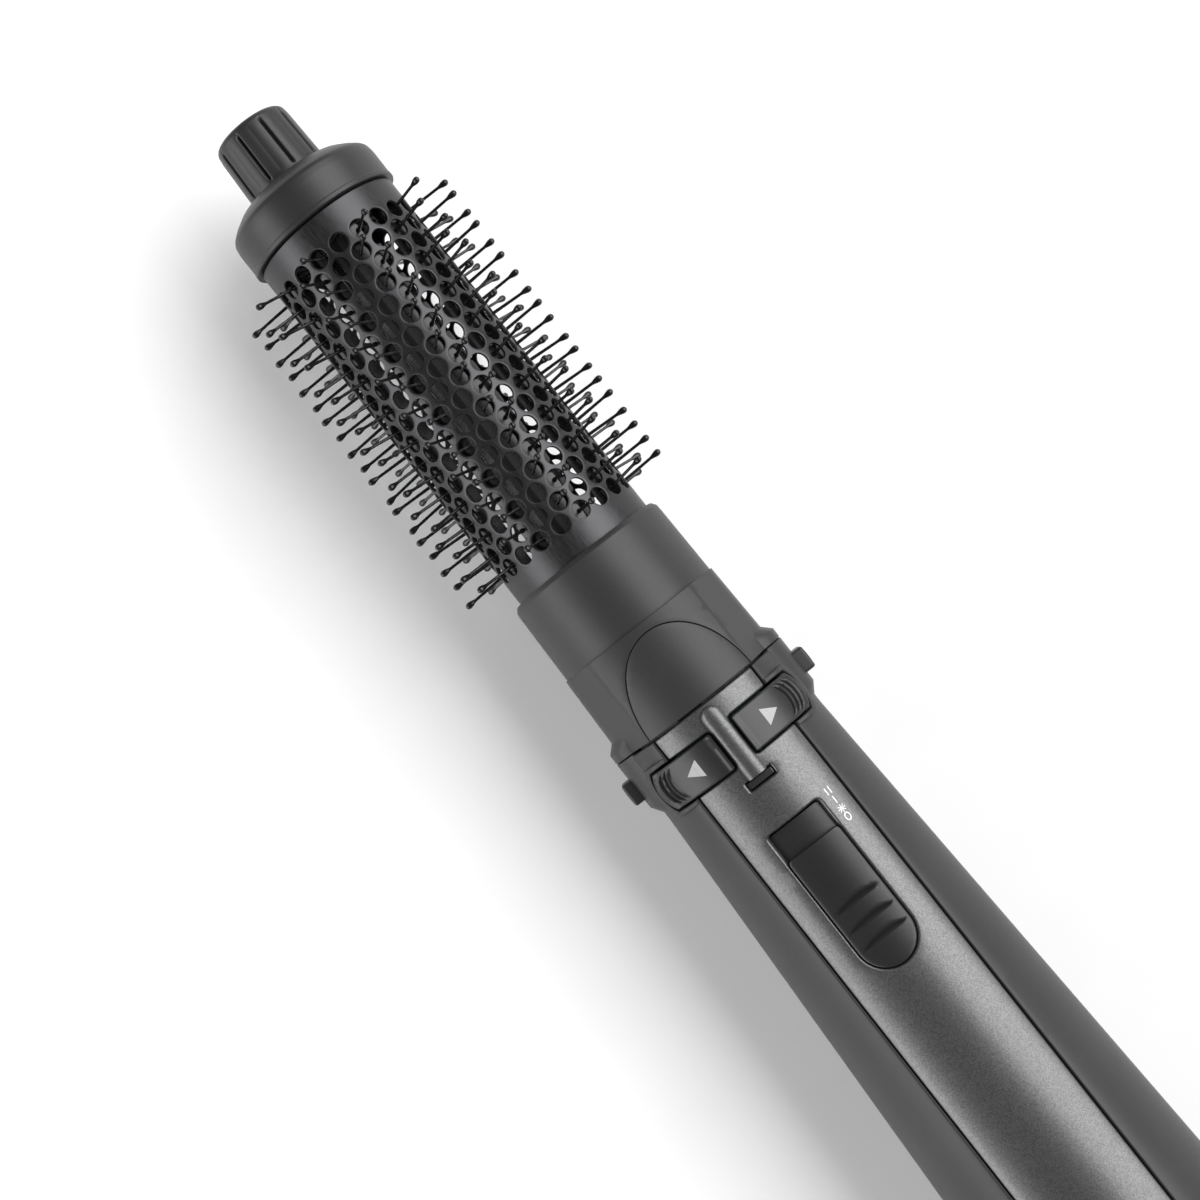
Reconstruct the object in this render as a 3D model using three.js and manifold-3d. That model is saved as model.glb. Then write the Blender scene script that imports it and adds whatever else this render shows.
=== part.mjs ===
// A rotating hot air brush: a handle with a fan, a heater and a gearmotor, and a plug-on
// brush head with a perforated barrel, ten retractable pin combs and a fluted tip knob.
//
// Millimetres. +X runs along the handle towards the tip of the brush, +Z points away from
// the surface that the brush lies on, through the switch panel, and +Y is the left side.
// Every piece is built round the long axis, and the whole group is then raised to lie on Z = 0.

import * as THREE from 'three';
import { mergeVertices } from 'three/addons/utils/BufferGeometryUtils.js';
import Module from 'manifold-3d';

const wasm = await Module();
wasm.setup();

// ---------------------------------------------------------------- driving dimensions

const AXIS_HEIGHT = 25;            // the handle's largest radius, so it rests on Z = 0
const GAP = 0.3;                   // clearance between separate pieces
const WALL = 2;                    // casing thickness
const CASING_SIDES = 36;

// Stations along the axis.
const KNOB_END = 170;
const KNOB_BASE = 156.5;
const FLANGE_FRONT = 156.2;
const FLANGE_BACK = 144.8;
const BARREL_FRONT = 144.5;
const BARREL_BACK = 58;
const COLLAR_FRONT = 61.6;
const COLLAR_STEP = 44;
const COLLAR_BACK = 24.9;
const HANDLE_FRONT = 24.4;
const HANDLE_WAIST = 9.8;
const HANDLE_BELLY = -120;
const SHELL_BACK = -142;
const HANDLE_END = -160;
const GLAND_END = -170;

// Brush head.
const BARREL_R = 16;
const BARREL_WALL = 0.6;
const SPIGOT_R = 14.7;             // what fits inside the barrel
const HOLE_D = 3.9;
const HOLE_SIDES = 4;
const HOLES_PER_RING = 20;
const RING_COUNT = 19;
const FIRST_RING = 68.4;
const RING_PITCH = 3.84;
const HOLE_PITCH = 360 / HOLES_PER_RING;
const PIN_TIP_R = 25;
const PIN_R = 0.5;
const PIN_SIDES = 3;
const COMB_COUNT = 10;
const COMB_STEP = 360 / COMB_COUNT;
const COMB_TRAVEL = 8.8;
const COMB_OUTER_R = 14.6;
const COMB_INNER_R = 12.5;
const COMB_START = 65.4;
const COMB_END = 140.5;
const PEG_R = 13.2;                // radius of the comb's guide pegs, pins out
const PEG_WIDTH = 0.8;
const KNOB_TURN = 90;              // knob turn that draws the pins right in
const KNOB_R = 8.7;
const FLANGE_R = 17;
const COLLAR_FRONT_R = 17.8;
const COLLAR_R = 18.25;
const COLLAR_BACK_R = 18.9;
const COLLAR_BORE = 16.4;
const EAR_R = 20.7;
const EAR_HALF_ANGLE = 28;

// Handle.
const WAIST_R = 19.1;
const PANEL_HALF_WIDTH = 12;
const BUTTON_X = [10.9, 19.3];
const BUTTON_ANGLE = [7.6, 59];    // round from the top; each button tips about its inner edge
const BUTTON_SWING = 2.5;          // room beyond the outer end for that, in the same degrees
const BUTTON_TOP_R = 20.3;
const BUTTON_BOTTOM_R = 17.6;
const RIB_WIDTH = 4.4;
const RIB_X = [7.8, 23.6];
const WINDOW_X = [5.4, 7.4];
const WINDOW_HALF_WIDTH = 3.2;
const SLIDER_TILT = 2.6;           // slope of the handle's top line, degrees
const SLIDER_X = -20.6;
const RECESS_REACH = 17.4;         // from the middle of the slider's recess to either end
const RECESS_HALF_WIDTH = 6.4;
const SLIDER_TRAVEL = 5.9;
const STEM_HALF_LENGTH = 1.7;
const DUCT_R = 11.3;
const DUCT_MOUTH_R = 12.4;         // where the duct widens inside the plug-on joint
const BOARD_TOP = 12.9;
const SWITCH_Y = 8;                // the two rotate switches' distance from the middle
const SLOT_COUNT = 12;             // air intake slots in the rear cap
const SCREW_PLACES = [[4, -15], [-62, -17]];   // X and Z of the screws that cross the handle
const SCREW_HEAD_Y = -11;

// ---------------------------------------------------------------- solids

// A closed mesh with merged corners and outward faces, as a solid that can be cut and joined.
function solid(source) {
  const bare = source.clone();
  bare.deleteAttribute('normal');
  bare.deleteAttribute('uv');
  const merged = mergeVertices(bare, 1e-4);
  const position = merged.getAttribute('position');
  const corners = merged.getIndex().array;
  const triangles = [];
  const a = new THREE.Vector3();
  const b = new THREE.Vector3();
  const c = new THREE.Vector3();
  let volume = 0;
  for (let i = 0; i < corners.length; i += 3) {
    const [p, q, r] = [corners[i], corners[i + 1], corners[i + 2]];
    if (p === q || q === r || r === p) continue;
    triangles.push(p, q, r);
    a.fromBufferAttribute(position, p);
    b.fromBufferAttribute(position, q);
    c.fromBufferAttribute(position, r);
    volume += a.dot(b.cross(c));
  }
  if (volume < 0) triangles.reverse();
  return new wasm.Manifold(new wasm.Mesh({
    numProp: 3,
    vertProperties: Float32Array.from(position.array),
    triVerts: Uint32Array.from(triangles),
  }));
}

function join(first, ...others) {
  return others.reduce((whole, piece) => whole.add(piece), first);
}

function cut(first, ...tools) {
  return tools.reduce((whole, tool) => whole.subtract(tool), first);
}

// A lathe turned round the long axis. The profile is a list of [x, radius] points; it starts
// and ends on the axis, or it is closed here into a ring.
function turned(profile, segments = 24) {
  const points = profile.map(([x, radius]) => new THREE.Vector2(radius, x));
  const onAxis = profile[0][1] === 0 && profile[profile.length - 1][1] === 0;
  if (!onAxis) points.push(points[0].clone());
  const lathe = new THREE.LatheGeometry(points, segments);
  lathe.rotateZ(-Math.PI / 2);
  return solid(lathe);
}

function ring(x0, x1, inner, outer, segments = 24) {
  return turned([[x0, inner], [x0, outer], [x1, outer], [x1, inner]], segments);
}

function rod(x0, x1, radius, segments = 16) {
  return turned([[x0, 0], [x0, radius], [x1, radius], [x1, 0]], segments);
}

function block(x0, x1, y0, y1, z0, z1) {
  const box = new THREE.BoxGeometry(x1 - x0, y1 - y0, z1 - z0);
  box.translate((x0 + x1) / 2, (y0 + y1) / 2, (z0 + z1) / 2);
  return solid(box);
}

// A flat outline in the Y-Z plane, drawn out along X.
function drawnAlongX(outline, x0, x1) {
  const shape = new THREE.Shape(outline.map(([y, z]) => new THREE.Vector2(y, z)));
  const prism = new THREE.ExtrudeGeometry(shape, { depth: x1 - x0, bevelEnabled: false });
  prism.applyMatrix4(new THREE.Matrix4().makeBasis(
    new THREE.Vector3(0, 1, 0), new THREE.Vector3(0, 0, 1), new THREE.Vector3(1, 0, 0)));
  prism.translate(x0, 0, 0);
  return solid(prism);
}

// A flat outline in the X-Y plane, drawn up along Z.
function drawnUp(shape, z0, z1, curveSegments = 8) {
  const prism = new THREE.ExtrudeGeometry(shape, { depth: z1 - z0, bevelEnabled: false, curveSegments });
  prism.translate(0, 0, z0);
  return solid(prism);
}

// A point at an angle round the axis, measured from +Z towards +Y.
function around(radius, degrees) {
  const angle = THREE.MathUtils.degToRad(degrees);
  return [radius * Math.sin(angle), radius * Math.cos(angle)];
}

// A block bent round the axis, between two radii and two angles.
function sector(x0, x1, r0, r1, from, to) {
  const steps = Math.ceil(Math.abs(to - from) / 9);
  const outline = [];
  for (let i = 0; i <= steps; i += 1) outline.push(around(r1, from + ((to - from) * i) / steps));
  if (r0 === 0) outline.push([0, 0]);
  else for (let i = steps; i >= 0; i -= 1) outline.push(around(r0, from + ((to - from) * i) / steps));
  return drawnAlongX(outline, x0, x1);
}

function cylinder(radius, length, segments, place) {
  const bar = new THREE.CylinderGeometry(radius, radius, length, segments);
  place(bar);
  return solid(bar);
}

function turnedBy(piece, degrees) {
  return piece.rotate([degrees, 0, 0]);
}

// Coil springs and heater windings: a square section swept along a helix about X.
function helix(x0, x1, radius, turns, wire, stepsPerTurn) {
  class Helix extends THREE.Curve {
    getPoint(t, target = new THREE.Vector3()) {
      const [y, z] = around(radius, 360 * turns * t);
      return target.set(x0 + (x1 - x0) * t, y, z);
    }
  }
  const half = wire / 2;
  const section = new THREE.Shape([
    new THREE.Vector2(-half, -half), new THREE.Vector2(half, -half),
    new THREE.Vector2(half, half), new THREE.Vector2(-half, half)]);
  return solid(new THREE.ExtrudeGeometry(section, {
    steps: Math.round(turns * stepsPerTurn), extrudePath: new Helix(), bevelEnabled: false }));
}

// ---------------------------------------------------------------- materials and nodes

const FINISHES = {
  softBlack: { color: 0x2b2b2d, roughness: 0.62, metalness: 0 },
  matteBlack: { color: 0x232325, roughness: 0.5, metalness: 0 },
  glossBlack: { color: 0x111112, roughness: 0.2, metalness: 0 },
  silverPaint: { color: 0x8b8d90, roughness: 0.38, metalness: 0.7 },
  barrelMetal: { color: 0x4c4d50, roughness: 0.34, metalness: 0.9 },
  steel: { color: 0xb9bbbe, roughness: 0.3, metalness: 1 },
  mica: { color: 0xb79f77, roughness: 0.55, metalness: 0 },
  resistanceWire: { color: 0x8a7f74, roughness: 0.4, metalness: 1 },
  board: { color: 0x1f5a37, roughness: 0.5, metalness: 0 },
  greyPlastic: { color: 0x6f7173, roughness: 0.5, metalness: 0 },
};

const brush = new THREE.Group();
brush.position.z = AXIS_HEIGHT;

// Adds one named mesh to a group.
function node(name, finish, piece, parent = brush) {
  const mesh = piece.getMesh();
  const geometry = new THREE.BufferGeometry();
  geometry.setAttribute('position', new THREE.BufferAttribute(mesh.vertProperties, 3));
  geometry.setIndex(new THREE.BufferAttribute(mesh.triVerts, 1));
  const part = new THREE.Mesh(geometry, new THREE.MeshStandardMaterial(FINISHES[finish]));
  part.name = name;
  parent.add(part);
  return part;
}

// ---------------------------------------------------------------- brush head

// The barrel's outline is a polygon whose corners stand between the combs, so that each comb's
// two columns of holes lie on one face.
function barrelOutline(radius) {
  const outline = [];
  for (let comb = 0; comb < COMB_COUNT; comb += 1) {
    for (const offset of [-13, 13, COMB_STEP / 2]) outline.push(around(radius, combAngle(comb) + offset));
  }
  return outline;
}

// The barrel has HOLES_PER_RING round holes in each ring, half a pitch on from ring to ring.
// Every second hole of a ring carries a pin, and those are the ones cut here.
function perforatedBarrel() {
  const tube = drawnAlongX(barrelOutline(BARREL_R), BARREL_BACK, BARREL_FRONT)
    .subtract(drawnAlongX(barrelOutline(BARREL_R - BARREL_WALL), BARREL_BACK - 1, BARREL_FRONT + 1));
  const punches = [];
  for (let row = 0; row < RING_COUNT; row += 1) {
    for (let comb = 0; comb < COMB_COUNT; comb += 1) {
      const punch = prism(HOLE_D / 2, HOLE_SIDES, BARREL_R - 2, BARREL_R + 2).translate([ringX(row), 0, 0]);
      punches.push(turnedBy(punch, pinAngle(row) - combAngle(comb)));
    }
  }
  return tube.subtract(wasm.Manifold.compose(punches));
}

function ringX(row) {
  return FIRST_RING + row * RING_PITCH;
}

// Where a comb stands round the axis, and how far each of its pins leans from it, so that the
// pins come out of the staggered holes: the even rings have one hole at the very top.
function combAngle(comb) {
  return (comb + 0.5) * COMB_STEP + HOLE_PITCH / 4;
}

function pinAngle(row) {
  return row % 2 === 0 ? HOLE_PITCH / 4 : -HOLE_PITCH / 4;
}

// An upright bar of a few flat sides between two heights.
function prism(radius, sides, z0, z1) {
  const corners = [];
  for (let i = 0; i < sides; i += 1) {
    const angle = (i * 2 * Math.PI) / sides;
    corners.push(new THREE.Vector2(radius * Math.cos(angle), radius * Math.sin(angle)));
  }
  return drawnUp(new THREE.Shape(corners), z0, z1);
}

// Ten straight slots cut radially through a disc, which keep the combs' pegs in line.
function radialSlots(x0, x1) {
  const slots = [];
  for (let i = 0; i < COMB_COUNT; i += 1) {
    const slot = block(x0, x1, -PEG_WIDTH, PEG_WIDTH, PEG_R - COMB_TRAVEL - 0.75, PEG_R + 0.9);
    slots.push(turnedBy(slot, -combAngle(i)));
  }
  return slots;
}

function tipFlange() {
  const body = turned([
    [143, 3.3], [143, SPIGOT_R], [FLANGE_BACK, SPIGOT_R],
    [FLANGE_BACK, 16.5], [FLANGE_BACK + 0.5, FLANGE_R], [151, FLANGE_R], [153.4, 16.3],
    [155.2, 14.4], [FLANGE_FRONT, 10.6], [FLANGE_FRONT, 3.3]]);
  return cut(body, ...radialSlots(142, 145.5));
}

function retractKnob() {
  const grooves = 9;
  const outline = [];
  for (let i = 0; i < grooves; i += 1) {
    const centre = (i * 360) / grooves + 19;
    outline.push(around(KNOB_R - 0.8, centre), around(KNOB_R + 0.2, centre + 3));
    outline.push(around(KNOB_R + 0.7, centre + 20), around(KNOB_R + 0.2, centre + 37));
  }
  const form = turned([
    [KNOB_BASE, 0], [KNOB_BASE, KNOB_R], [167.2, 8.2], [169.2, 7.3], [KNOB_END, 5.6], [KNOB_END, 0]], 27);
  const fluted = form.intersect(drawnAlongX(outline, KNOB_BASE + 1.6, KNOB_END + 1));
  const foot = turned([[KNOB_BASE, 0], [KNOB_BASE, KNOB_R], [KNOB_BASE + 1.7, KNOB_R - 0.06],
    [KNOB_BASE + 1.7, 0]], 27);
  return cut(join(fluted, foot), rod(KNOB_BASE - 1, 165.5, 2.7, 12));
}

// A spiral slot: turning the disc by KNOB_TURN draws a peg inwards by COMB_TRAVEL.
function spiralSlot(x0, x1) {
  const halfWidth = 0.95;
  const steps = 4;
  const middle = [];
  for (let i = 0; i <= steps; i += 1) {
    const t = -0.07 + (1.14 * i) / steps;
    middle.push(new THREE.Vector2(...around(PEG_R - COMB_TRAVEL * t, KNOB_TURN * t)));
  }
  const left = [];
  const right = [];
  middle.forEach((point, i) => {
    const before = middle[Math.max(i - 1, 0)];
    const after = middle[Math.min(i + 1, steps)];
    const along = after.clone().sub(before).normalize().multiplyScalar(halfWidth);
    left.push([point.x - along.y, point.y + along.x]);
    right.unshift([point.x + along.y, point.y - along.x]);
  });
  return drawnAlongX([...left, ...right], x0, x1);
}

function scrollDisc(x0, x1) {
  const slots = [];
  for (let i = 0; i < COMB_COUNT; i += 1) slots.push(turnedBy(spiralSlot(x0 - 1, x1 + 1), -combAngle(i)));
  return cut(ring(x0, x1, 2.7, SPIGOT_R, 20), ...slots);
}

function retractSpindle() {
  return turned([[59.3, 0], [59.3, 1.9], [61.6, 1.9], [61.6, 2.4], [165, 2.4], [165, 0]], 12);
}

// A comb: a wedge-shaped bar with one pin for each ring of holes, in two staggered columns,
// and a square guide peg at each end.
function comb() {
  const bar = drawnAlongX([
    [-1.8, COMB_OUTER_R], [1.8, COMB_OUTER_R], [0.95, COMB_INNER_R], [-0.95, COMB_INNER_R]],
  COMB_START, COMB_END);
  const half = PEG_WIDTH / 2;
  const peg = block(59.3, 145.2, -half, half, PEG_R - half, PEG_R + half);
  const pins = [];
  const pinBase = COMB_OUTER_R - 0.3;
  for (let row = 0; row < RING_COUNT; row += 1) {
    const pin = prism(PIN_R, PIN_SIDES, pinBase, PIN_TIP_R).translate([ringX(row), 0, 0]);
    pins.push(turnedBy(pin, pinAngle(row)));
  }
  return join(bar, peg, wasm.Manifold.compose(pins));
}

function driveHub() {
  const body = turned([
    [48, 0], [48, 4.4], [56.8, 4.4], [58.5, 3.5], [58.5, 14.1], [50, 14.1], [50, SPIGOT_R], [61.5, SPIGOT_R],
    [61.5, 0]], 20);
  const hexSocket = rod(47, 56.2, 3.05, 6);
  return cut(body, hexSocket, rod(58.9, 62, 2.2, 8), ...radialSlots(58, 62));
}

function collarBearing() {
  return ring(51, 54.5, SPIGOT_R + GAP, COLLAR_BORE - GAP);
}

// The pair of raised ears where the head meets the handle: a short turned ring, kept only
// within EAR_HALF_ANGLE of each side.
function ears(profile, segments = 30) {
  const band = turned(profile, segments);
  const [x0, x1] = [profile[0][0] - 20, profile[0][0] + 20];
  const left = sector(x0, x1, 0, 40, 90 - EAR_HALF_ANGLE, 90 + EAR_HALF_ANGLE);
  const right = sector(x0, x1, 0, 40, -90 - EAR_HALF_ANGLE, -90 + EAR_HALF_ANGLE);
  return join(band.intersect(left), band.intersect(right));
}

function halfEllipse(apexX, baseX, halfWidth) {
  const shape = new THREE.Shape();
  shape.moveTo(baseX, -halfWidth);
  shape.ellipse(0, halfWidth, apexX - baseX, halfWidth, -Math.PI / 2, Math.PI / 2);
  shape.closePath();
  return shape;
}

function brushCollar() {
  const body = turned([
    [COLLAR_FRONT, COLLAR_BORE], [COLLAR_FRONT, 16.9], [60.6, 17.6], [58.6, COLLAR_FRONT_R],
    [COLLAR_STEP, COLLAR_R], [COLLAR_BACK, COLLAR_BACK_R], [COLLAR_BACK, 17.15], [34.3, 17.15],
    [34.3, COLLAR_BORE]], 30);
  const skin = turned([
    [COLLAR_STEP, 17.5], [COLLAR_STEP, COLLAR_R + GAP], [COLLAR_BACK, COLLAR_BACK_R + GAP],
    [COLLAR_BACK, 17.5]], 30);
  const plate = skin.intersect(block(COLLAR_BACK, COLLAR_STEP, -12.5, 12.5, 5, 30));
  const raised = ears([[COLLAR_BACK, 17.6], [COLLAR_BACK, EAR_R], [26.9, EAR_R], [29.3, 18.4], [29.3, 17.6]]);
  const outerArch = drawnUp(halfEllipse(42.1, COLLAR_BACK - 1, 12.1), 5, 30);
  const innerArch = drawnUp(halfEllipse(41.7, COLLAR_BACK - 2, 11.7), 4, 31);
  const core = turned([[60, 0], [60, 18], [COLLAR_STEP, COLLAR_R], [20, 18.95], [20, 0]], 30);
  const archLine = outerArch.subtract(innerArch).subtract(core);
  return cut(join(body, plate, raised), archLine);
}

// ---------------------------------------------------------------- handle casing

// Outer radius of the handle behind its waist: a straight taper out to the belly.
function handleRadius(x) {
  const slope = (AXIS_HEIGHT - WAIST_R) / (HANDLE_WAIST - HANDLE_BELLY);
  return WAIST_R + (HANDLE_WAIST - Math.max(x, HANDLE_BELLY)) * slope;
}

// The casing's facets are turned and spread so that one lies flat on the table.
function casing() {
  const halfFacet = 180 / CASING_SIDES;
  const spread = 1 / Math.cos(THREE.MathUtils.degToRad(halfFacet));
  const tube = turned([
    [HANDLE_FRONT, WAIST_R], [HANDLE_WAIST, WAIST_R], [HANDLE_BELLY + 6, handleRadius(HANDLE_BELLY + 6)],
    [HANDLE_BELLY - 4, AXIS_HEIGHT], [SHELL_BACK, 24.2], [SHELL_BACK, 24.2 - WALL],
    [HANDLE_BELLY, AXIS_HEIGHT - WALL], [HANDLE_WAIST, WAIST_R - WALL], [HANDLE_FRONT, WAIST_R - WALL]],
  CASING_SIDES);
  return turnedBy(tube, halfFacet).scale([1, spread, spread]);
}

function overPanel(margin) {
  return block(-200, 200, -PANEL_HALF_WIDTH - margin, PANEL_HALF_WIDTH + margin, 0, 60);
}

function buttonWindow(side) {
  return sector(BUTTON_X[0] - GAP, BUTTON_X[1] + GAP, 10, 30,
    side * (BUTTON_ANGLE[0] - 1), side * (BUTTON_ANGLE[1] + BUTTON_SWING));
}

// One side shell of the casing, left for side = 1 and right for side = -1.
function sideShell(side) {
  const nearY = side > 0 ? 0.15 : -60;
  const farY = side > 0 ? 60 : -0.15;
  const halfSpace = block(-200, 200, nearY, farY, -60, 60);
  const ear = ears([[11.3, 18], [13.9, EAR_R], [HANDLE_FRONT, EAR_R], [HANDLE_FRONT, 18]]);
  const lipFrom = side * (BUTTON_ANGLE[1] + BUTTON_SWING);
  const lip = sector(BUTTON_X[0] - 1.2, BUTTON_X[1] + 1.2, 18, BUTTON_TOP_R - 0.2, lipFrom, lipFrom + side * 5);
  const tabSlot = block(15.6, 21.2, side > 0 ? 12 : -30, side > 0 ? 30 : -12, -4.2, 4.2);
  let shell = join(casing(), ear, lip).intersect(halfSpace);
  shell = cut(shell, overPanel(GAP / 2), buttonWindow(side), tabSlot);
  for (const [x, z] of SCREW_PLACES) {
    const reach = Math.sqrt((handleRadius(x) - 0.4) ** 2 - (Math.abs(z) + 2.8) ** 2);
    const boss = yRod(x, z, 2.8, side * 1.5, side * reach, 12);
    const bore = side > 0 ? yRod(x, z, 1.4, -1, 9, 10) : yRod(x, z, 1.4, -40, 1, 10);
    shell = shell.add(boss).subtract(bore);
    if (side < 0) shell = shell.subtract(yRod(x, z, 2.4, -40, SCREW_HEAD_Y - GAP + 1.7, 12));
  }
  return shell;
}

// A round bar across the handle.
function yRod(x, z, radius, y0, y1, segments) {
  return cylinder(radius, Math.abs(y1 - y0), segments, (bar) => {
    bar.translate(x, (y0 + y1) / 2, z);
  });
}

function casingScrew(x, z) {
  const shank = yRod(x, z, 1.1, SCREW_HEAD_Y, 8, 10);
  const head = yRod(x, z, 2.1, SCREW_HEAD_Y - 0.2, SCREW_HEAD_Y + 1.4, 10);
  const crossSlot = block(x - 0.3, x + 0.3, SCREW_HEAD_Y - 1, SCREW_HEAD_Y + 0.4, z - 1.4, z + 1.4);
  return cut(join(shank, head), crossSlot);
}

// The thumb slider's outline: square in front, and a half round at the back.
function recessOutline(front, halfWidth) {
  const shape = new THREE.Shape();
  const corner = 0.9;
  const roundStart = RECESS_HALF_WIDTH - RECESS_REACH;
  shape.moveTo(front - corner, -halfWidth);
  shape.lineTo(front, -halfWidth + corner);
  shape.lineTo(front, halfWidth - corner);
  shape.lineTo(front - corner, halfWidth);
  shape.lineTo(roundStart, halfWidth);
  shape.absarc(roundStart, 0, halfWidth, Math.PI / 2, (3 * Math.PI) / 2);
  return shape;
}

// Places a piece built in the slider's own frame on the handle's top line, which comes down
// towards the tip.
function onTopLine(piece) {
  return piece.rotate([0, SLIDER_TILT, 0]).translate([SLIDER_X, 0, handleRadius(SLIDER_X)]);
}

// A plate crowned like the handle at the slider, in the slider's own frame: its top lies at
// height z on the centre line.
function crowned(shape, top, thickness) {
  const radius = handleRadius(SLIDER_X);
  const crown = ring(-30, 30, radius + top - thickness, radius + top, 48).translate([0, 0, -radius]);
  return drawnUp(shape, -8, 4).intersect(crown);
}

function frontPanel() {
  const strip = casing().intersect(block(-200, 200, -PANEL_HALF_WIDTH + GAP / 2, PANEL_HALF_WIDTH - GAP / 2, 0, 60));
  const ribShape = new THREE.Shape();
  const half = RIB_WIDTH / 2;
  ribShape.moveTo(RIB_X[0], -half);
  ribShape.lineTo(RIB_X[1] - half, -half);
  ribShape.absarc(RIB_X[1] - half, 0, half, -Math.PI / 2, Math.PI / 2);
  ribShape.lineTo(RIB_X[0], half);
  const ribTop = ring(0, 30, 17.5, WAIST_R + 1, 48);
  const rib = drawnUp(ribShape, 17.3, 22).intersect(ribTop);
  const window = block(WINDOW_X[0], WINDOW_X[1], -WINDOW_HALF_WIDTH, WINDOW_HALF_WIDTH, 10, 30);
  const recess = onTopLine(drawnUp(recessOutline(RECESS_REACH, RECESS_HALF_WIDTH), -8, 8));
  return join(cut(strip, buttonWindow(1), buttonWindow(-1), window, recess), rib);
}

function indicatorWindow() {
  const lens = block(WINDOW_X[0] + GAP, WINDOW_X[1] - GAP, -WINDOW_HALF_WIDTH + GAP, WINDOW_HALF_WIDTH - GAP, 16, 30);
  return lens.intersect(rod(0, 20, WAIST_R - 0.4, 36));
}

function rearCap() {
  const shell = turned([
    [SHELL_BACK - GAP, 24.2], [-150, 23.1], [-156, 20.2], [HANDLE_END, 14.8],
    [HANDLE_END, 6.3], [HANDLE_END + 2, 6.3], [HANDLE_END + 2, 14.2], [-154.4, 18.6],
    [SHELL_BACK - GAP, 22.2]], 30);
  const slots = [];
  for (let i = 0; i < SLOT_COUNT; i += 1) {
    slots.push(turnedBy(block(-165, -151, -1, 1, 10, 30), ((i + 0.5) * 360) / SLOT_COUNT));
  }
  return cut(shell, ...slots);
}

function cordGland() {
  return turned([
    [-156, 3.2], [-156, 8], [-157.7, 8], [-157.7, 5.9], [-161, 5.9], [-162.5, 6.4], [-164, 5.6],
    [-169.4, 4.6], [GLAND_END, 4.2], [GLAND_END, 3.2]], 16);
}

function swivelRetainer() {
  return ring(-155.6, -154.2, 4, 12, 24);
}

// ---------------------------------------------------------------- buttons and switches

// A cap that follows the handle's round, with a chamfered outer edge, three finger ridges and a
// post that reaches down to its switch.
function rotateButton(side) {
  const [from, to] = BUTTON_ANGLE.map((angle) => side * angle);
  const cap = sector(...BUTTON_X, BUTTON_BOTTOM_R, BUTTON_TOP_R - 0.5, from, to);
  const top = sector(BUTTON_X[0] + 0.5, BUTTON_X[1] - 0.5, BUTTON_BOTTOM_R + 0.5, BUTTON_TOP_R,
    from + side * 1.5, to - side * 2.5);
  const ridges = [];
  for (let i = 0; i < 3; i += 1) {
    const at = side * (46 + i * 3.4);
    ridges.push(sector(BUTTON_X[0] + 1.4, BUTTON_X[1] - 1.4, 19.5, BUTTON_TOP_R + 0.25, at, at + side * 1.4));
  }
  const post = block(13.9, 16.3, side * SWITCH_Y - 1, side * SWITCH_Y + 1, BOARD_TOP + 1.9, 17);
  return join(cap, top, post, ...ridges);
}

function rotateSwitch(side) {
  const middle = side * SWITCH_Y;
  const body = block(12.6, 17.6, middle - 2, middle + 2, BOARD_TOP + GAP, BOARD_TOP + 0.8);
  const plunger = block(14.1, 16.1, middle - 1, middle + 1, BOARD_TOP + 0.7, BOARD_TOP + 1.3);
  return join(body, plunger);
}

// A side release button: the square cap outside the ear, its guide plate inside the casing,
// and a springy hook that reaches forward into the brush head's collar.
function releaseButton() {
  const cap = block(15.9, 20.9, 15.7, 22.9, -3.9, 3.9);
  const plate = block(14.4, 20.4, 14.4, 15.8, -5.4, 5.4);
  const hook = block(20, 31, 15.4, 16.2, -2.5, 2.5);
  const tooth = block(29, 31, 16, 16.7, -2.5, 2.5);
  const springPocket = cylinder(2, 3.4, 10, (bar) => bar.translate(18.4, 14.9, 0));
  return cut(join(cap, plate, hook, tooth), springPocket);
}

function releaseSpring() {
  return helix(0, 2.4, 1.3, 3, 0.4, 6).rotate([0, 0, 90]).translate([18.4, 11.9, 0]);
}

function mirroredToRight(piece) {
  return piece.mirror([0, 1, 0]);
}

function circuitBoard() {
  return block(-41, 19.4, -10.4, 10.4, BOARD_TOP - 1.2, BOARD_TOP);
}

function sliderTray() {
  const plate = crowned(
    recessOutline(RECESS_REACH - GAP, RECESS_HALF_WIDTH - GAP), -1.5, 1.6);
  return cut(plate, drawnUp(slotOutline(), -8, 4));
}

// The slot that the slider's stem runs along.
function slotOutline() {
  const back = -STEM_HALF_LENGTH - GAP;
  const front = STEM_HALF_LENGTH + SLIDER_TRAVEL + GAP;
  const shape = new THREE.Shape();
  shape.moveTo(back, -1.8);
  shape.lineTo(front, -1.8);
  shape.lineTo(front, 1.8);
  shape.lineTo(back, 1.8);
  return shape;
}

// The thumb slider, with three crosswise grip grooves and a stem down to the mode switch.
function modeSlider() {
  const front = RECESS_REACH - GAP - SLIDER_TRAVEL;
  const plate = crowned(recessOutline(front, RECESS_HALF_WIDTH - GAP), 0.1, 1.3);
  const stem = block(-STEM_HALF_LENGTH, STEM_HALF_LENGTH, -1.5, 1.5, -3.5, -0.9);
  const grooves = [-1.9, -6.3, -10.4].map((x) => cylinder(0.45, 10, 8, (bar) => bar.translate(x, 0, 0)));
  return cut(join(plate, stem), ...grooves);
}

function modeSwitch() {
  return block(-6, 12, -4, 4, -6.6, -3.9);
}

// ---------------------------------------------------------------- drive, heater and fan

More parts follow.
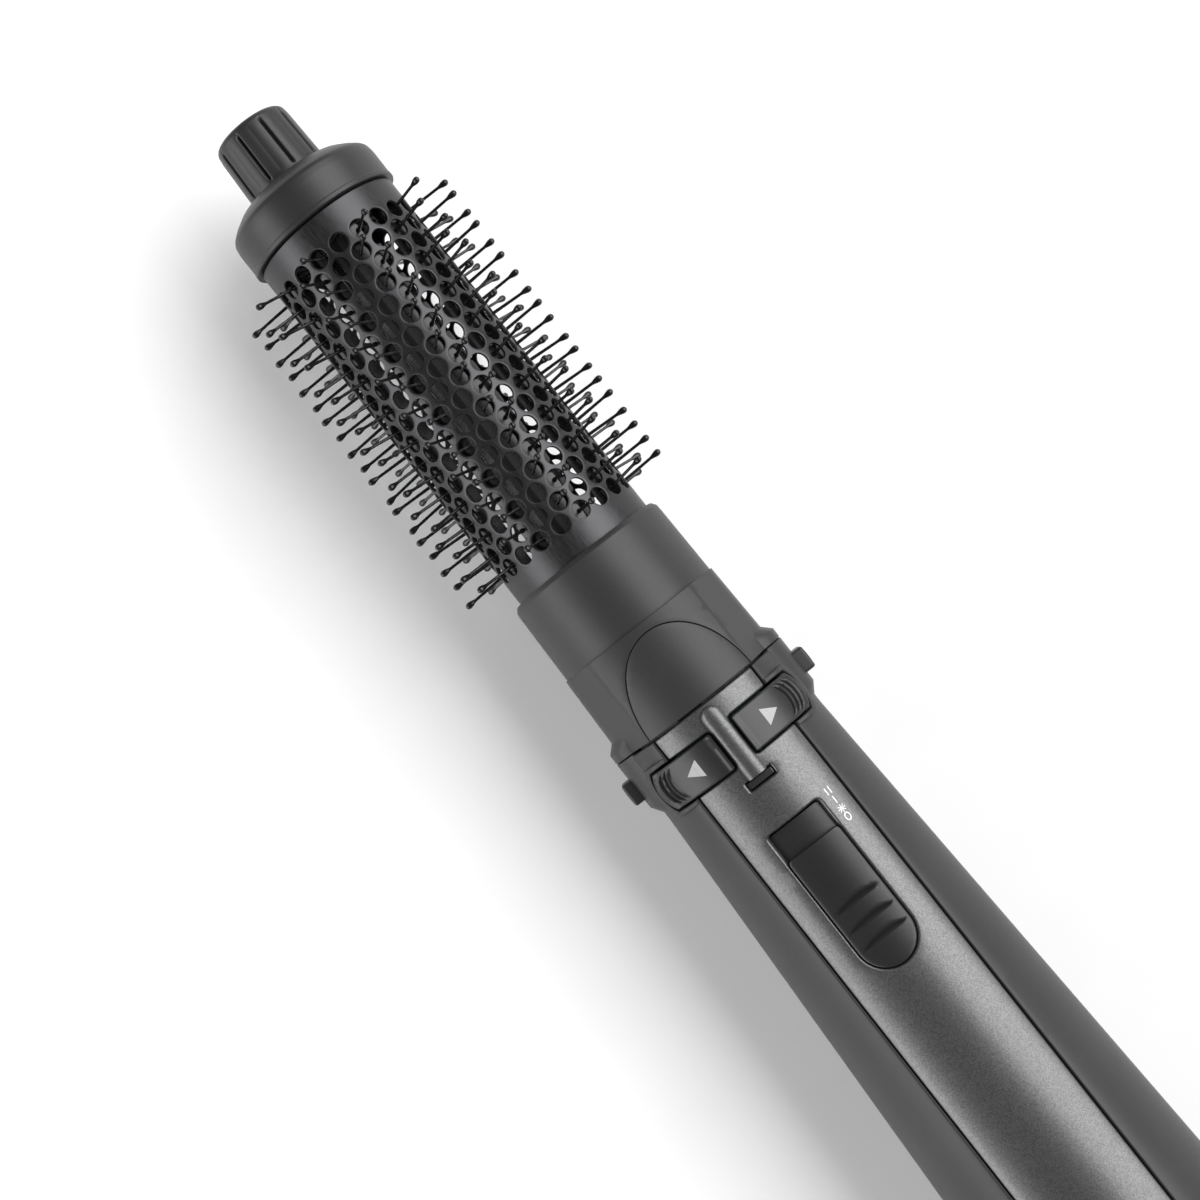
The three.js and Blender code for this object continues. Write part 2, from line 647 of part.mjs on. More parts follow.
function airDuct() {
  const tube = turned([
    [-46.3, 14.9], [-42, DUCT_R], [20.5, DUCT_R], [22.2, DUCT_MOUTH_R], [33.5, DUCT_MOUTH_R],
    [33.5, DUCT_MOUTH_R - 1.1], [22.6, DUCT_MOUTH_R - 1.1], [20.9, DUCT_R - 1.1],
    [-41.6, DUCT_R - 1.1], [-46.3, 13.8]], 18);
  const spigot = turned([
    [22.2, 12], [22.2, 16.8], [33.5, 16.8], [33.5, 15.6], [24, 15.6], [24, 12]], 18);
  const hookWays = [-20, 12.5].map((nearY) => block(20, 40, nearY, nearY + 7.5, -3.3, 3.3));
  return join(tube, cut(spigot, ...hookWays));
}

function brushMotor() {
  return turned([[-38, 0], [-38, 5.6], [-37.5, 6], [-18.3, 6], [-18, 5.6], [-18, 0]], 20);
}

function gearbox() {
  const box = turned([[-17.7, 0], [-17.7, 6.3], [-7, 6.3], [-7, 4], [-5.6, 4], [-5.6, 0]], 20);
  return cut(box, rod(-9.6, -5, 2.35, 12));
}

// A ring with three struts that stand in a round duct.
function spider(x0, x1, inner, outer, reach, strutWidth) {
  const struts = [0, 120, 240].map((angle) =>
    turnedBy(block(x0, x1, -strutWidth / 2, strutWidth / 2, (inner + outer) / 2, reach), angle));
  return join(ring(x0, x1, inner, outer, 20), ...struts);
}

function motorBracket() {
  return spider(-15, -10, 6.6, 7.6, 9.8, 1.4);
}

function shaftBearing() {
  return spider(25, 29, 2.35, 4, 10.8, 1.4);
}

function driveShaft() {
  const shaft = rod(-9, 46.2, 2, 12);
  const dog = rod(46, 55.6, 2.65, 6);
  return join(shaft, dog);
}

function heaterFrame() {
  const length = [-86, -50];
  const upright = block(...length, -0.4, 0.4, -10.4, 10.4);
  const across = block(...length, -10.4, 10.4, -0.4, 0.4);
  return join(upright, across);
}

function heaterCoil() {
  return helix(-84, -52, 12.6, 6, 0.9, 7);
}

function heaterSleeve() {
  return ring(-88, -46.7, 13.9, 14.4);
}

function thermostat() {
  return rod(-62, -57, 2.4, 12).translate([0, 5, 5]);
}

function thermalFuse() {
  return rod(-74, -66, 1.4, 8).translate([0, -4, 4]);
}

function fanShroud() {
  const funnel = turned([
    [-132, 21.2], [-100, 21.2], [-88.3, 15.2], [-88.3, 14], [-100.4, 20.2], [-132, 20.2]], 22);
  const struts = [60, 180, 300].map((angle) => turnedBy(block(-124, -119, -0.9, 0.9, 10, 20.7), angle));
  return join(funnel, ring(-124, -119, 9.7, 10.8, 14), ...struts);
}

function fanMotor() {
  return turned([
    [-138, 0], [-138, 8.4], [-137.2, 9.2], [-113.8, 9.2], [-113, 8.4], [-113, 1.2], [-103.6, 1.2],
    [-103.6, 0]], 16);
}

function fanImpeller() {
  const blades = [];
  const bladeCount = 7;
  for (let i = 0; i < bladeCount; i += 1) {
    const blade = new THREE.BoxGeometry(9, 1, 13);
    blade.rotateZ(THREE.MathUtils.degToRad(38));
    blade.translate(-108, 0, 12.7);
    blades.push(turnedBy(solid(blade), (i * 360) / bladeCount));
  }
  const hub = turned([[-112.4, 7], [-104.6, 7], [-103.4, 4.6], [-103.4, 1.5], [-112.4, 1.5]], 14);
  const bore = rod(-120, -100, 3, 12);
  return cut(join(hub, cut(wasm.Manifold.union(blades), bore)), rod(-120, -100, 1.5, 12))
    .intersect(rod(-120, -100, 19.6, 24));
}

function intakeFilter() {
  return ring(-141.3, -140.4, 9.8, 21.6);
}

// ---------------------------------------------------------------- assembly

node('brush_barrel', 'barrelMetal', perforatedBarrel());
node('tip_flange', 'matteBlack', tipFlange());
node('retract_knob', 'matteBlack', retractKnob());
node('retract_spindle', 'greyPlastic', retractSpindle());
node('scroll_disc_tip', 'greyPlastic', scrollDisc(141.1, 142.4));
node('scroll_disc_base', 'greyPlastic', scrollDisc(62.1, 63.4));
for (let i = 0; i < COMB_COUNT; i += 1) {
  const name = `pin_comb_${String(i + 1).padStart(2, '0')}`;
  node(name, 'glossBlack', comb()).rotation.x = THREE.MathUtils.degToRad(-combAngle(i));
}
node('drive_hub', 'matteBlack', driveHub());
node('collar_bearing', 'greyPlastic', collarBearing());
node('brush_collar', 'softBlack', brushCollar());

node('left_side_shell', 'softBlack', sideShell(1));
node('right_side_shell', 'softBlack', sideShell(-1));
node('front_panel', 'silverPaint', frontPanel());
node('indicator_window', 'glossBlack', indicatorWindow());
node('rear_cap', 'softBlack', rearCap());
node('cord_gland', 'matteBlack', cordGland());
node('swivel_retainer', 'greyPlastic', swivelRetainer());
SCREW_PLACES.forEach(([x, z], i) => node(`casing_screw_${i + 1}`, 'steel', casingScrew(x, z)));

node('left_rotate_button', 'matteBlack', rotateButton(1));
node('right_rotate_button', 'matteBlack', rotateButton(-1));
node('left_rotate_switch', 'glossBlack', rotateSwitch(1));
node('right_rotate_switch', 'glossBlack', rotateSwitch(-1));
node('left_release_button', 'matteBlack', releaseButton());
node('right_release_button', 'matteBlack', mirroredToRight(releaseButton()));
node('left_release_spring', 'steel', releaseSpring());
node('right_release_spring', 'steel', mirroredToRight(releaseSpring()));
node('circuit_board', 'board', circuitBoard());
node('slider_tray', 'softBlack', onTopLine(sliderTray()));
node('mode_slider', 'softBlack', onTopLine(modeSlider()));
node('mode_switch', 'glossBlack', onTopLine(modeSwitch()));

node('air_duct', 'matteBlack', airDuct());
node('brush_motor', 'steel', brushMotor());
node('reduction_gearbox', 'greyPlastic', gearbox());
node('motor_bracket', 'greyPlastic', motorBracket());
node('drive_shaft', 'steel', driveShaft());
node('shaft_bearing', 'greyPlastic', shaftBearing());
node('heater_frame', 'mica', heaterFrame());
node('heater_coil', 'resistanceWire', heaterCoil());
node('heater_sleeve', 'mica', heaterSleeve());
node('thermostat', 'steel', thermostat());
node('thermal_fuse', 'steel', thermalFuse());
node('fan_shroud', 'greyPlastic', fanShroud());
node('fan_motor', 'steel', fanMotor());
node('fan_impeller', 'greyPlastic', fanImpeller());
node('intake_filter', 'steel', intakeFilter());

export default brush;
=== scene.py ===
import math
import random

import bmesh
import bpy
import numpy as np
from mathutils import Matrix, Vector
from mathutils.geometry import delaunay_2d_cdt


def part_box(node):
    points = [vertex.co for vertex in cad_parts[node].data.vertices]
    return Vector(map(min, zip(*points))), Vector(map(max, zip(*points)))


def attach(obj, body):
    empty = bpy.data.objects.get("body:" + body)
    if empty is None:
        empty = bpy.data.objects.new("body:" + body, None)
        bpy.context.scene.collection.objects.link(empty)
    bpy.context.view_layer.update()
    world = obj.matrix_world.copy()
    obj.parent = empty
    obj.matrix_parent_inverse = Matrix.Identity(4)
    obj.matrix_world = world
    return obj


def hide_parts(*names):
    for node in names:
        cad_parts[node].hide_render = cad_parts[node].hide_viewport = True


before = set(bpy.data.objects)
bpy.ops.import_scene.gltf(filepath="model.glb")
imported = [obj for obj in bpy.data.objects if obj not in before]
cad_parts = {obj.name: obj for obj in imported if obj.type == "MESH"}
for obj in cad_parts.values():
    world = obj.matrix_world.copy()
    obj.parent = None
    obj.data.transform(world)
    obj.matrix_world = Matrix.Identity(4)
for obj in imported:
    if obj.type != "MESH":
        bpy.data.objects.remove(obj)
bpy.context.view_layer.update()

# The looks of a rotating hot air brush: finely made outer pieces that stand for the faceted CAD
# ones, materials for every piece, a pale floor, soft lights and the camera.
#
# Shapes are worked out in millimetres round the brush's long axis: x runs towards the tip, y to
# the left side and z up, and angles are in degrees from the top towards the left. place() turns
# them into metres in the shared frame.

MM = 0.001


def span(node):
    """A CAD node's lowest and highest corners, in millimetres."""
    low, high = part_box(node)
    return low / MM, high / MM


AXIS_Z = (span("cord_gland")[0].z + span("cord_gland")[1].z) / 2
GAP = 0.3                                    # clearance between pieces, as in the CAD model

BARREL_BACK = span("brush_barrel")[0].x
BARREL_FRONT = span("brush_barrel")[1].x
BARREL_R = 16
BARREL_WALL = 0.6
RING_COUNT = 19
FIRST_RING = 68.4
RING_PITCH = 3.84
HOLES_PER_RING = 20
HOLE_R = 1.88
CELL_SIDE_PIECES = 4                         # mesh edges along each side of a hole's cell
COMB_COUNT = 10
COMB_BACK, COMB_FRONT = 65.4, 140.5
PIN_TIP_R = 25

COLLAR_BACK = span("brush_collar")[0].x
COLLAR_FRONT = span("brush_collar")[1].x
COLLAR_STEP = 44
COLLAR_BORE_R = 16.4
CROWN_R = 22.0                               # the collar's crowned top, across the brush
CROWN_RISE = 0.15                            # how far the crown stands over the collar's round
PANEL_EDGE = 12.5                            # half width of the collar's crowned top

HANDLE_FRONT = span("left_side_shell")[1].x
SHELL_BACK = span("left_side_shell")[0].x
WAIST_X = 9.8
WAIST_R = 19.1
BELLY_X = -120
BELLY_R = AXIS_Z
FRONT_PANEL_HALF = span("front_panel")[1].y
BUTTON_LOW, BUTTON_HIGH = span("left_rotate_button")
BUTTON_BOW = 6                               # degrees by which a button's outer end is bowed
EAR_R = 20.7
EAR_ROOT_R = 17.4
EAR_HALF_ANGLE = 28
TAB_BACK, TAB_FRONT = 15.9, 20.9             # a release button's thumb tab
TAB_HALF = 3.9
SLIDER_TILT = 2.6
RECESS_X = -20.6                             # middle of the slider's recess
RECESS_REACH = 17.4
RECESS_HALF = 6.4
SLIDER_FRONT = span("mode_slider")[1].x - RECESS_X

DRAWING_R = 19                               # flat drawings are true to size at this radius
ARC = math.radians(1) * DRAWING_R            # millimetres of drawing to a degree


# ---------------------------------------------------------------- meshes

def place(x, y, z):
    return (x * MM, y * MM, (z + AXIS_Z) * MM)


def polar(x, radius, degrees):
    angle = math.radians(degrees)
    return (x, radius * math.sin(angle), radius * math.cos(angle))


def piece(name, parts, material, body, stands_for=(), sharp=38):
    """Makes one object out of (points, faces) parts in millimetres, and rides it on a body."""
    mesh = bpy.data.meshes.new(name)
    points = []
    faces = []
    for part_points, part_faces in parts:
        first = len(points)
        points.extend(place(*p) for p in part_points)
        faces.extend(tuple(first + i for i in face) for face in part_faces)
    mesh.from_pydata(points, [], faces)
    work = bmesh.new()
    work.from_mesh(mesh)
    bmesh.ops.remove_doubles(work, verts=work.verts, dist=1e-7)
    bmesh.ops.dissolve_degenerate(work, edges=work.edges, dist=1e-7)
    bmesh.ops.recalc_face_normals(work, faces=work.faces)
    work.to_mesh(mesh)
    work.free()
    mesh.shade_smooth()
    mesh.set_sharp_from_angle(angle=math.radians(sharp))
    mesh.materials.append(material)
    thing = bpy.data.objects.new(name, mesh)
    bpy.context.scene.collection.objects.link(thing)
    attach(thing, body)
    if stands_for:
        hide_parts(*stands_for)
    return thing


def rounded(points, radius, steps=4, closed=True):
    """A polyline with every corner turned into an arc. A point may carry a radius of its own."""
    count = len(points)
    flat = [Vector(p[:2]) for p in points]
    result = []
    for i, p in enumerate(flat):
        r = points[i][2] if len(points[i]) > 2 else radius
        if r <= 0 or (not closed and i in (0, count - 1)):
            result.append(p)
            continue
        to_last = flat[i - 1] - p
        to_next = flat[(i + 1) % count] - p
        a, b = to_last.normalized(), to_next.normalized()
        half = math.acos(max(-1, min(1, a.dot(b)))) / 2
        if half > math.radians(89):
            result.append(p)
            continue
        reach = min(r / math.tan(half), 0.49 * to_last.length, 0.49 * to_next.length)
        r = reach * math.tan(half)
        centre = p + (a + b).normalized() * (r / math.sin(half))
        start, end = p + a * reach - centre, p + b * reach - centre
        turn = start.angle_signed(end)
        for k in range(steps + 1):
            arm = start.copy()
            arm.rotate(Matrix.Rotation(-turn * k / steps, 2))
            result.append(centre + arm)
    return [(p.x, p.y) for p in result]


def rectangle(x0, y0, x1, y1):
    return [(x0, y0), (x1, y0), (x1, y1), (x0, y1)]


def oval(x, y, half_length, half_width, count):
    turns = [2 * math.pi * k / count for k in range(count)]
    return [(x + half_length * math.cos(t), y + half_width * math.sin(t)) for t in turns]


def lathe(profile, segments=128, radius_at=None, angles=None, closed=True):
    """A profile of (x, radius) points turned round the axis. A point with no radius is a pole."""
    angles = angles or [360 * i / segments for i in range(segments)]
    points = []
    rows = []
    for x, r in profile:
        if r <= 1e-6:
            rows.append([len(points)])
            points.append((x, 0, 0))
            continue
        rows.append(list(range(len(points), len(points) + len(angles))))
        for angle in angles:
            points.append(polar(x, radius_at(x, r, angle) if radius_at else r, angle))
    faces = []
    pairs = list(zip(rows, rows[1:]))
    if closed and len(rows[0]) > 1 and len(rows[-1]) > 1:
        pairs.append((rows[-1], rows[0]))
    for a, b in pairs:
        for i in range(len(angles)):
            j = (i + 1) % len(angles)
            corners = [a[i % len(a)], b[i % len(b)], b[j % len(b)], a[j % len(a)]]
            corners = list(dict.fromkeys(corners))
            if len(corners) > 2:
                faces.append(corners)
    return points, faces


def bands(first, row_count, count):
    """The quads between closed rows of count points each, numbered from first on."""
    faces = []
    for r in range(row_count - 1):
        a, b = first + r * count, first + (r + 1) * count
        for i in range(count):
            j = (i + 1) % count
            faces.append((a + i, a + j, b + j, b + i))
    return faces


def moved_in(loop, distance):
    """A closed loop moved towards its left side by a distance."""
    p = np.array(loop, float)
    before = p - np.roll(p, 1, axis=0)
    after = np.roll(p, -1, axis=0) - p

    def left(v):
        n = np.stack([-v[:, 1], v[:, 0]], axis=1)
        return n / np.maximum(np.linalg.norm(n, axis=1, keepdims=True), 1e-9)

    a, b = left(before), left(after)
    middle = a + b
    middle /= np.maximum(np.linalg.norm(middle, axis=1, keepdims=True), 1e-9)
    stretch = 1 / np.maximum((middle * a).sum(axis=1, keepdims=True), 0.5)
    return p + middle * stretch * distance


def dense(loop, step):
    """A closed loop with no stretch longer than step."""
    result = []
    for i, p in enumerate(loop):
        q = loop[(i + 1) % len(loop)]
        pieces = max(1, math.ceil(math.dist(p, q) / step))
        result.extend((p[0] + (q[0] - p[0]) * k / pieces, p[1] + (q[1] - p[1]) * k / pieces)
                      for k in range(pieces))
    return result


def inside(points, loop):
    """Which points lie inside a closed loop."""
    x, y = points[:, 0], points[:, 1]
    found = np.zeros(len(points), bool)
    for i, (x0, y0) in enumerate(loop):
        x1, y1 = loop[i - 1]
        if y0 == y1:
            continue
        crosses = (y0 > y) != (y1 > y)
        found ^= crosses & (x < (x1 - x0) * (y - y0) / (y1 - y0) + x0)
    return found


def area(loop):
    """Of a closed loop: above nought where it runs anticlockwise."""
    return sum(x0 * y1 - x1 * y0 for (x0, y0), (x1, y1) in zip(loop, loop[1:] + loop[:1])) / 2


def skin(at, outer, holes=(), wall=1.2, edge=0.25, step=1.2, lines=(), rim_steps=3):
    """A plate of even thickness with rounded rims, drawn flat and laid on a curved surface.

    outer and holes are closed loops in the flat drawing. at(u, v, depth) gives the point of the
    surface over (u, v), and depth goes into the material. wall is the plate's thickness, edge the
    radius of its rims and step the size of its triangles. lines are drawing lines that the mesh
    has to follow, such as a crease."""
    loops = []
    for k, drawn_loop in enumerate([outer, *holes]):
        loop = dense(list(drawn_loop), step)
        if (area(loop) > 0) != (k == 0):
            loop.reverse()
        loops.append(loop)
    inner = [moved_in(loop, edge) for loop in loops]

    def in_material(places):
        kept = inside(places, inner[0].tolist())
        for hole in inner[1:]:
            kept &= ~inside(places, hole.tolist())
        return kept

    drawn = [tuple(p) for loop in inner for p in loop]
    edges = []
    first = 0
    for loop in inner:
        edges.extend((first + i, first + (i + 1) % len(loop)) for i in range(len(loop)))
        first += len(loop)
    rim_points = np.array(drawn)
    for line in lines:
        for i, p in enumerate(line):
            drawn.append(tuple(p))
            if i:
                edges.append((len(drawn) - 2, len(drawn) - 1))
    taken = np.array(drawn)
    low, high = rim_points.min(0), rim_points.max(0)
    us = np.arange(low[0] + step / 2, high[0], step)
    vs = np.arange(low[1] + step / 2, high[1], step)
    grid = np.array([(u + (j % 2) * step / 2, v) for j, v in enumerate(vs) for u in us])
    if len(grid):
        grid = grid[in_material(grid)]
    if len(grid):
        near = np.full(len(grid), np.inf)
        for start in range(0, len(taken), 400):
            gaps = grid[:, None, :] - taken[None, start:start + 400, :]
            near = np.minimum(near, (gaps ** 2).sum(axis=2).min(axis=1))
        grid = grid[near > (0.55 * step) ** 2]
    flat = [Vector(p) for p in drawn] + [Vector(p) for p in grid]
    found = delaunay_2d_cdt(flat, edges, [], 0, 1e-6)
    corners, flat_faces = found[0], found[2]
    centres = np.array([sum((corners[i] for i in face), Vector((0, 0))) / len(face)
                        for face in flat_faces])
    flat_faces = [face for face, kept in zip(flat_faces, in_material(centres)) if kept]

    points = [at(v.x, v.y, 0) for v in corners]
    below = len(points)
    points += [at(v.x, v.y, wall) for v in corners]
    faces = [tuple(face) for face in flat_faces]
    faces += [tuple(below + i for i in reversed(face)) for face in flat_faces]
    for loop, rim in zip(loops, inner):
        original = np.array(loop, float)
        rows = [[at(u, v, 0) for u, v in rim]]
        for k in range(1, rim_steps + 1):
            angle = math.pi / 2 * k / rim_steps
            share = math.sin(angle)
            depth = edge * (1 - math.cos(angle))
            rows.append([at(u, v, depth) for u, v in rim + (original - rim) * share])
        rows.append([at(u, v, wall) for u, v in original])
        rows.append([at(u, v, wall) for u, v in rim])
        count = len(loop)
        first = len(points)
        for row in rows:
            points += row
        for r in range(len(rows) - 1):
            for i in range(count):
                j = (i + 1) % count
                a, b = first + r * count, first + (r + 1) * count
                faces.append((a + i, b + i, b + j, a + j))
    return points, faces


# ---------------------------------------------------------------- materials

def new_material(name):
    material = bpy.data.materials.new(name)
    material.use_nodes = True
    tree = material.node_tree
    shader = tree.nodes["Principled BSDF"]
    where = tree.nodes.new("ShaderNodeTexCoord").outputs["Object"]
    return material, tree, shader, where


def set_inputs(node, values):
    for name, value in values.items():
        node.inputs[name].default_value = value


def noise(tree, where, scale, detail=3, roughness=0.5):
    node = tree.nodes.new("ShaderNodeTexNoise")
    set_inputs(node, {"Scale": scale, "Detail": detail, "Roughness": roughness})
    tree.links.new(where, node.inputs["Vector"])
    return node.outputs["Fac"]


def ranged(tree, value, low, high, start=0.3, end=0.7):
    node = tree.nodes.new("ShaderNodeMapRange")
    set_inputs(node, {"From Min": start, "From Max": end, "To Min": low, "To Max": high})
    tree.links.new(value, node.inputs["Value"])
    return node.outputs["Result"]


def ramp(tree, value, dark, light, start=0.3, end=0.7):
    node = tree.nodes.new("ShaderNodeValToRGB")
    for stop, place_on_ramp, colour in zip(node.color_ramp.elements, (start, end), (dark, light)):
        stop.position = place_on_ramp
        stop.color = (*colour, 1)
    tree.links.new(value, node.inputs["Fac"])
    return node.outputs["Color"]


def stretched(tree, where, stretch):
    node = tree.nodes.new("ShaderNodeMapping")
    set_inputs(node, {"Scale": stretch})
    tree.links.new(where, node.inputs["Vector"])
    return node.outputs["Vector"]


def bump(tree, shader, height, distance):
    node = tree.nodes.new("ShaderNodeBump")
    set_inputs(node, {"Distance": distance, "Strength": 1})
    tree.links.new(height, node.inputs["Height"])
    tree.links.new(node.outputs["Normal"], shader.inputs["Normal"])


def grey(value, spread):
    return (value - spread,) * 3, (value + spread,) * 3


def plastic(name, shade, roughness, grain=0.000012, spread=0.08, coat=0.0):
    """Moulded plastic: a fine spark-eroded grain, and slow changes in colour and polish."""
    material, tree, shader, where = new_material(name)
    slow = noise(tree, where, 60, 4)
    dark, light = grey(shade, shade * spread)
    tree.links.new(ramp(tree, slow, dark, light), shader.inputs["Base Color"])
    fine = noise(tree, where, 4200, 2, 0.6)
    tree.links.new(ranged(tree, fine, roughness - 0.05, roughness + 0.05), shader.inputs["Roughness"])
    bump(tree, shader, fine, grain)
    set_inputs(shader, {"Specular IOR Level": 0.42, "Coat Weight": coat, "Coat Roughness": 0.25})
    return material


def flake_paint(name, dark, light, roughness):
    """Metallic paint: aluminium flakes that catch the light one by one, under a satin lacquer."""
    material, tree, shader, where = new_material(name)
    flake_scale = 5200
    flakes = tree.nodes.new("ShaderNodeTexVoronoi")
    set_inputs(flakes, {"Scale": flake_scale})
    tree.links.new(where, flakes.inputs["Vector"])
    clouds = noise(tree, where, flake_scale, 2, 0.7)
    mixed = tree.nodes.new("ShaderNodeMix")
    set_inputs(mixed, {"Factor": 0.55})
    split = tree.nodes.new("ShaderNodeSeparateColor")
    tree.links.new(flakes.outputs["Color"], split.inputs["Color"])
    tree.links.new(split.outputs["Red"], mixed.inputs["A"])
    tree.links.new(clouds, mixed.inputs["B"])
    colour = ramp(tree, mixed.outputs["Result"], (dark,) * 3, (light,) * 3, 0.25, 0.75)
    tree.links.new(colour, shader.inputs["Base Color"])
    tree.links.new(ranged(tree, clouds, roughness - 0.05, roughness + 0.06), shader.inputs["Roughness"])
    set_inputs(shader, {"Metallic": 0.75, "Coat Weight": 0.25, "Coat Roughness": 0.3})
    bump(tree, shader, mixed.outputs["Result"], 0.00001)
    return material


def metal(name, colour, roughness, stretch=(1, 1, 1), spread=0.1, grain=0.000004):
    """Metal with a drawn or turned grain: the noise is stretched along the grain."""
    material, tree, shader, where = new_material(name)
    lines = noise(tree, stretched(tree, where, stretch), 2500, 3, 0.6)
    dark = tuple(c * (1 - spread) for c in colour)
    light = tuple(min(1, c * (1 + spread)) for c in colour)
    tree.links.new(ramp(tree, lines, dark, light), shader.inputs["Base Color"])
    tree.links.new(ranged(tree, lines, roughness - 0.05, roughness + 0.07), shader.inputs["Roughness"])
    set_inputs(shader, {"Metallic": 1})
    bump(tree, shader, lines, grain)
    return material


def sheet_material(name, dark, light, roughness, scale, stretch=(1, 1, 1)):
    """Layered or printed board: blotches of two colours."""
    material, tree, shader, where = new_material(name)
    spots = noise(tree, stretched(tree, where, stretch), scale, 4, 0.6)
    tree.links.new(ramp(tree, spots, dark, light), shader.inputs["Base Color"])
    tree.links.new(ranged(tree, spots, roughness - 0.08, roughness + 0.08), shader.inputs["Roughness"])
    bump(tree, shader, spots, 0.00003)
    return material


SOFT_BLACK = plastic("soft_black_plastic", 0.020, 0.46, spread=0.1)
MATTE_BLACK = plastic("matte_black_plastic", 0.016, 0.42, spread=0.1)
SLIDER_BLACK = plastic("slider_plastic", 0.013, 0.36, grain=0.000006)
BUTTON_GREY = plastic("button_plastic", 0.013, 0.32, grain=0.000006, spread=0.14)
PIN_BLACK = plastic("pin_plastic", 0.006, 0.22, grain=0.000002, spread=0.2)
WINDOW_BLACK = plastic("window_plastic", 0.02, 0.15, grain=0.000001, spread=0.3, coat=0.5)
GREY_PLASTIC = plastic("grey_plastic", 0.14, 0.5)
PRINT_GREY = plastic("arrow_print", 0.38, 0.5, grain=0.000003, spread=0.03)
PRINT_WHITE = plastic("symbol_print", 0.85, 0.5, grain=0.000003, spread=0.03)
SILVER_PAINT = flake_paint("silver_paint", 0.07, 0.135, 0.38)
BARREL_METAL = metal("barrel_coating", (0.055, 0.055, 0.057), 0.4, stretch=(0.15, 1, 1))
# Near-black painted shade: the barrel's inner faces and the pieces inside it are coloured almost black
# so that its holes look dark.
BARREL_INNER_PAINTED_SHADE = plastic("barrel_inner_painted_shade", 0.004, 0.6, spread=0.2)
STEEL = metal("plain_steel", (0.55, 0.56, 0.57), 0.3, stretch=(0.1, 1, 1))
WIRE = metal("resistance_wire", (0.35, 0.31, 0.27), 0.45, spread=0.25)
MICA = sheet_material("mica_sheet", (0.42, 0.31, 0.18), (0.62, 0.5, 0.33), 0.5, 300, (1, 3, 3))
BOARD = sheet_material("circuit_board", (0.008, 0.06, 0.025), (0.02, 0.11, 0.05), 0.35, 900)


# ---------------------------------------------------------------- brush head

def comb_angle(comb):
    """Round the axis from the top, as the CAD combs stand: their pins miss the top by 4.5 degrees."""
    pitch = 360 / HOLES_PER_RING
    return (comb + 0.5) * 360 / COMB_COUNT + pitch / 4


def hole_cell(end):
    """The outline round one hole, in staggered rings: a hexagon, or with end = 1 or -1 one whose
    outer side is cut straight for the last or first ring. Its points meet its neighbours'."""
    across = math.radians(360 / HOLES_PER_RING) * BARREL_R / 2
    corner = (RING_PITCH ** 2 - across ** 2) / (2 * RING_PITCH)
    peak = (RING_PITCH ** 2 + across ** 2) / (2 * RING_PITCH)
    corners = [(peak, 0), (corner, across), (-corner, across), (-peak, 0), (-corner, -across),
               (corner, -across)]
    if end:
        corners = [(end * peak if x * end > 0 else x, y) for x, y in corners]
    cell = []
    for i, (x0, y0) in enumerate(corners):
        x1, y1 = corners[(i + 1) % len(corners)]
        for k in range(CELL_SIDE_PIECES):
            share = k / CELL_SIDE_PIECES
            cell.append((x0 + (x1 - x0) * share, y0 + (y1 - y0) * share))
    return cell


def ring_stagger(ring):
    """Every other ring of holes is turned by half a hole, in degrees."""
    return 0 if ring % 2 == 0 else 180 / HOLES_PER_RING


def barrel():
    """A thin tube with rings of rimmed holes, made cell by cell, and a plain band at each end."""
    points = []
    faces = []

    def surface(a, s, x, angle, depth):
        return polar(x + a, BARREL_R - depth, angle + math.degrees(s / BARREL_R))

    edge = 0.16
    rim = 0.45
    rings = [(HOLE_R + rim, 0), (HOLE_R + edge, 0), (HOLE_R + edge * 0.3, edge * 0.3),
             (HOLE_R, edge), (HOLE_R, BARREL_WALL - 0.05)]
    peak = max(x for x, y in hole_cell(0))
    for ring in range(RING_COUNT):
        end = -1 if ring == 0 else (1 if ring == RING_COUNT - 1 else 0)
        cell = hole_cell(end)
        x = FIRST_RING + ring * RING_PITCH
        stagger = ring_stagger(ring)
        for hole in range(HOLES_PER_RING):
            angle = hole * 360 / HOLES_PER_RING + stagger
            first = len(points)
            rows = [[surface(a, s, x, angle, 0) for a, s in cell]]
            for radius, depth in rings:
                row = []
                for a, s in cell:
                    scale = radius / math.hypot(a, s)
                    row.append(surface(a * scale, s * scale, x, angle, depth))
                rows.append(row)
            rows.append([surface(a, s, x, angle, BARREL_WALL) for a, s in cell])
            for row in rows:
                points.extend(row)
            faces.extend(bands(first, len(rows), len(cell)))

    # The plain bands at both ends, in step with the straight sides of the outermost cells.
    chamfer = 0.15
    half_pitch = 180 / HOLES_PER_RING
    for end, ring, far in ((-1, 0, BARREL_BACK), (1, RING_COUNT - 1, BARREL_FRONT)):
        near = FIRST_RING + ring * RING_PITCH + end * peak
        angles = [hole * 360 / HOLES_PER_RING + ring_stagger(ring) + half_pitch * k / CELL_SIDE_PIECES
                  for hole in range(HOLES_PER_RING) for k in range(-CELL_SIDE_PIECES, CELL_SIDE_PIECES)]
        band = [(near, BARREL_R), (near + (far - near) * 0.35, BARREL_R),
                (far - end * chamfer, BARREL_R), (far, BARREL_R - chamfer),
                (far, BARREL_R - BARREL_WALL), (near, BARREL_R - BARREL_WALL)]
        band_points, band_faces = lathe(band, angles=angles, closed=False)
        first = len(points)
        points.extend(band_points)
        faces.extend(tuple(first + i for i in face) for face in band_faces)
    tube = piece("perforated_barrel", [(points, faces)], BARREL_METAL, "barrel", ["brush_barrel"])
    # The tube's inner faces take the near-black painted shade.
    tube.data.materials.append(BARREL_INNER_PAINTED_SHADE)
    for face in tube.data.polygons:
        radius = math.hypot(face.center.y, face.center.z - AXIS_Z * MM) / MM
        face.material_index = 1 if radius < BARREL_R - 0.5 * BARREL_WALL else 0


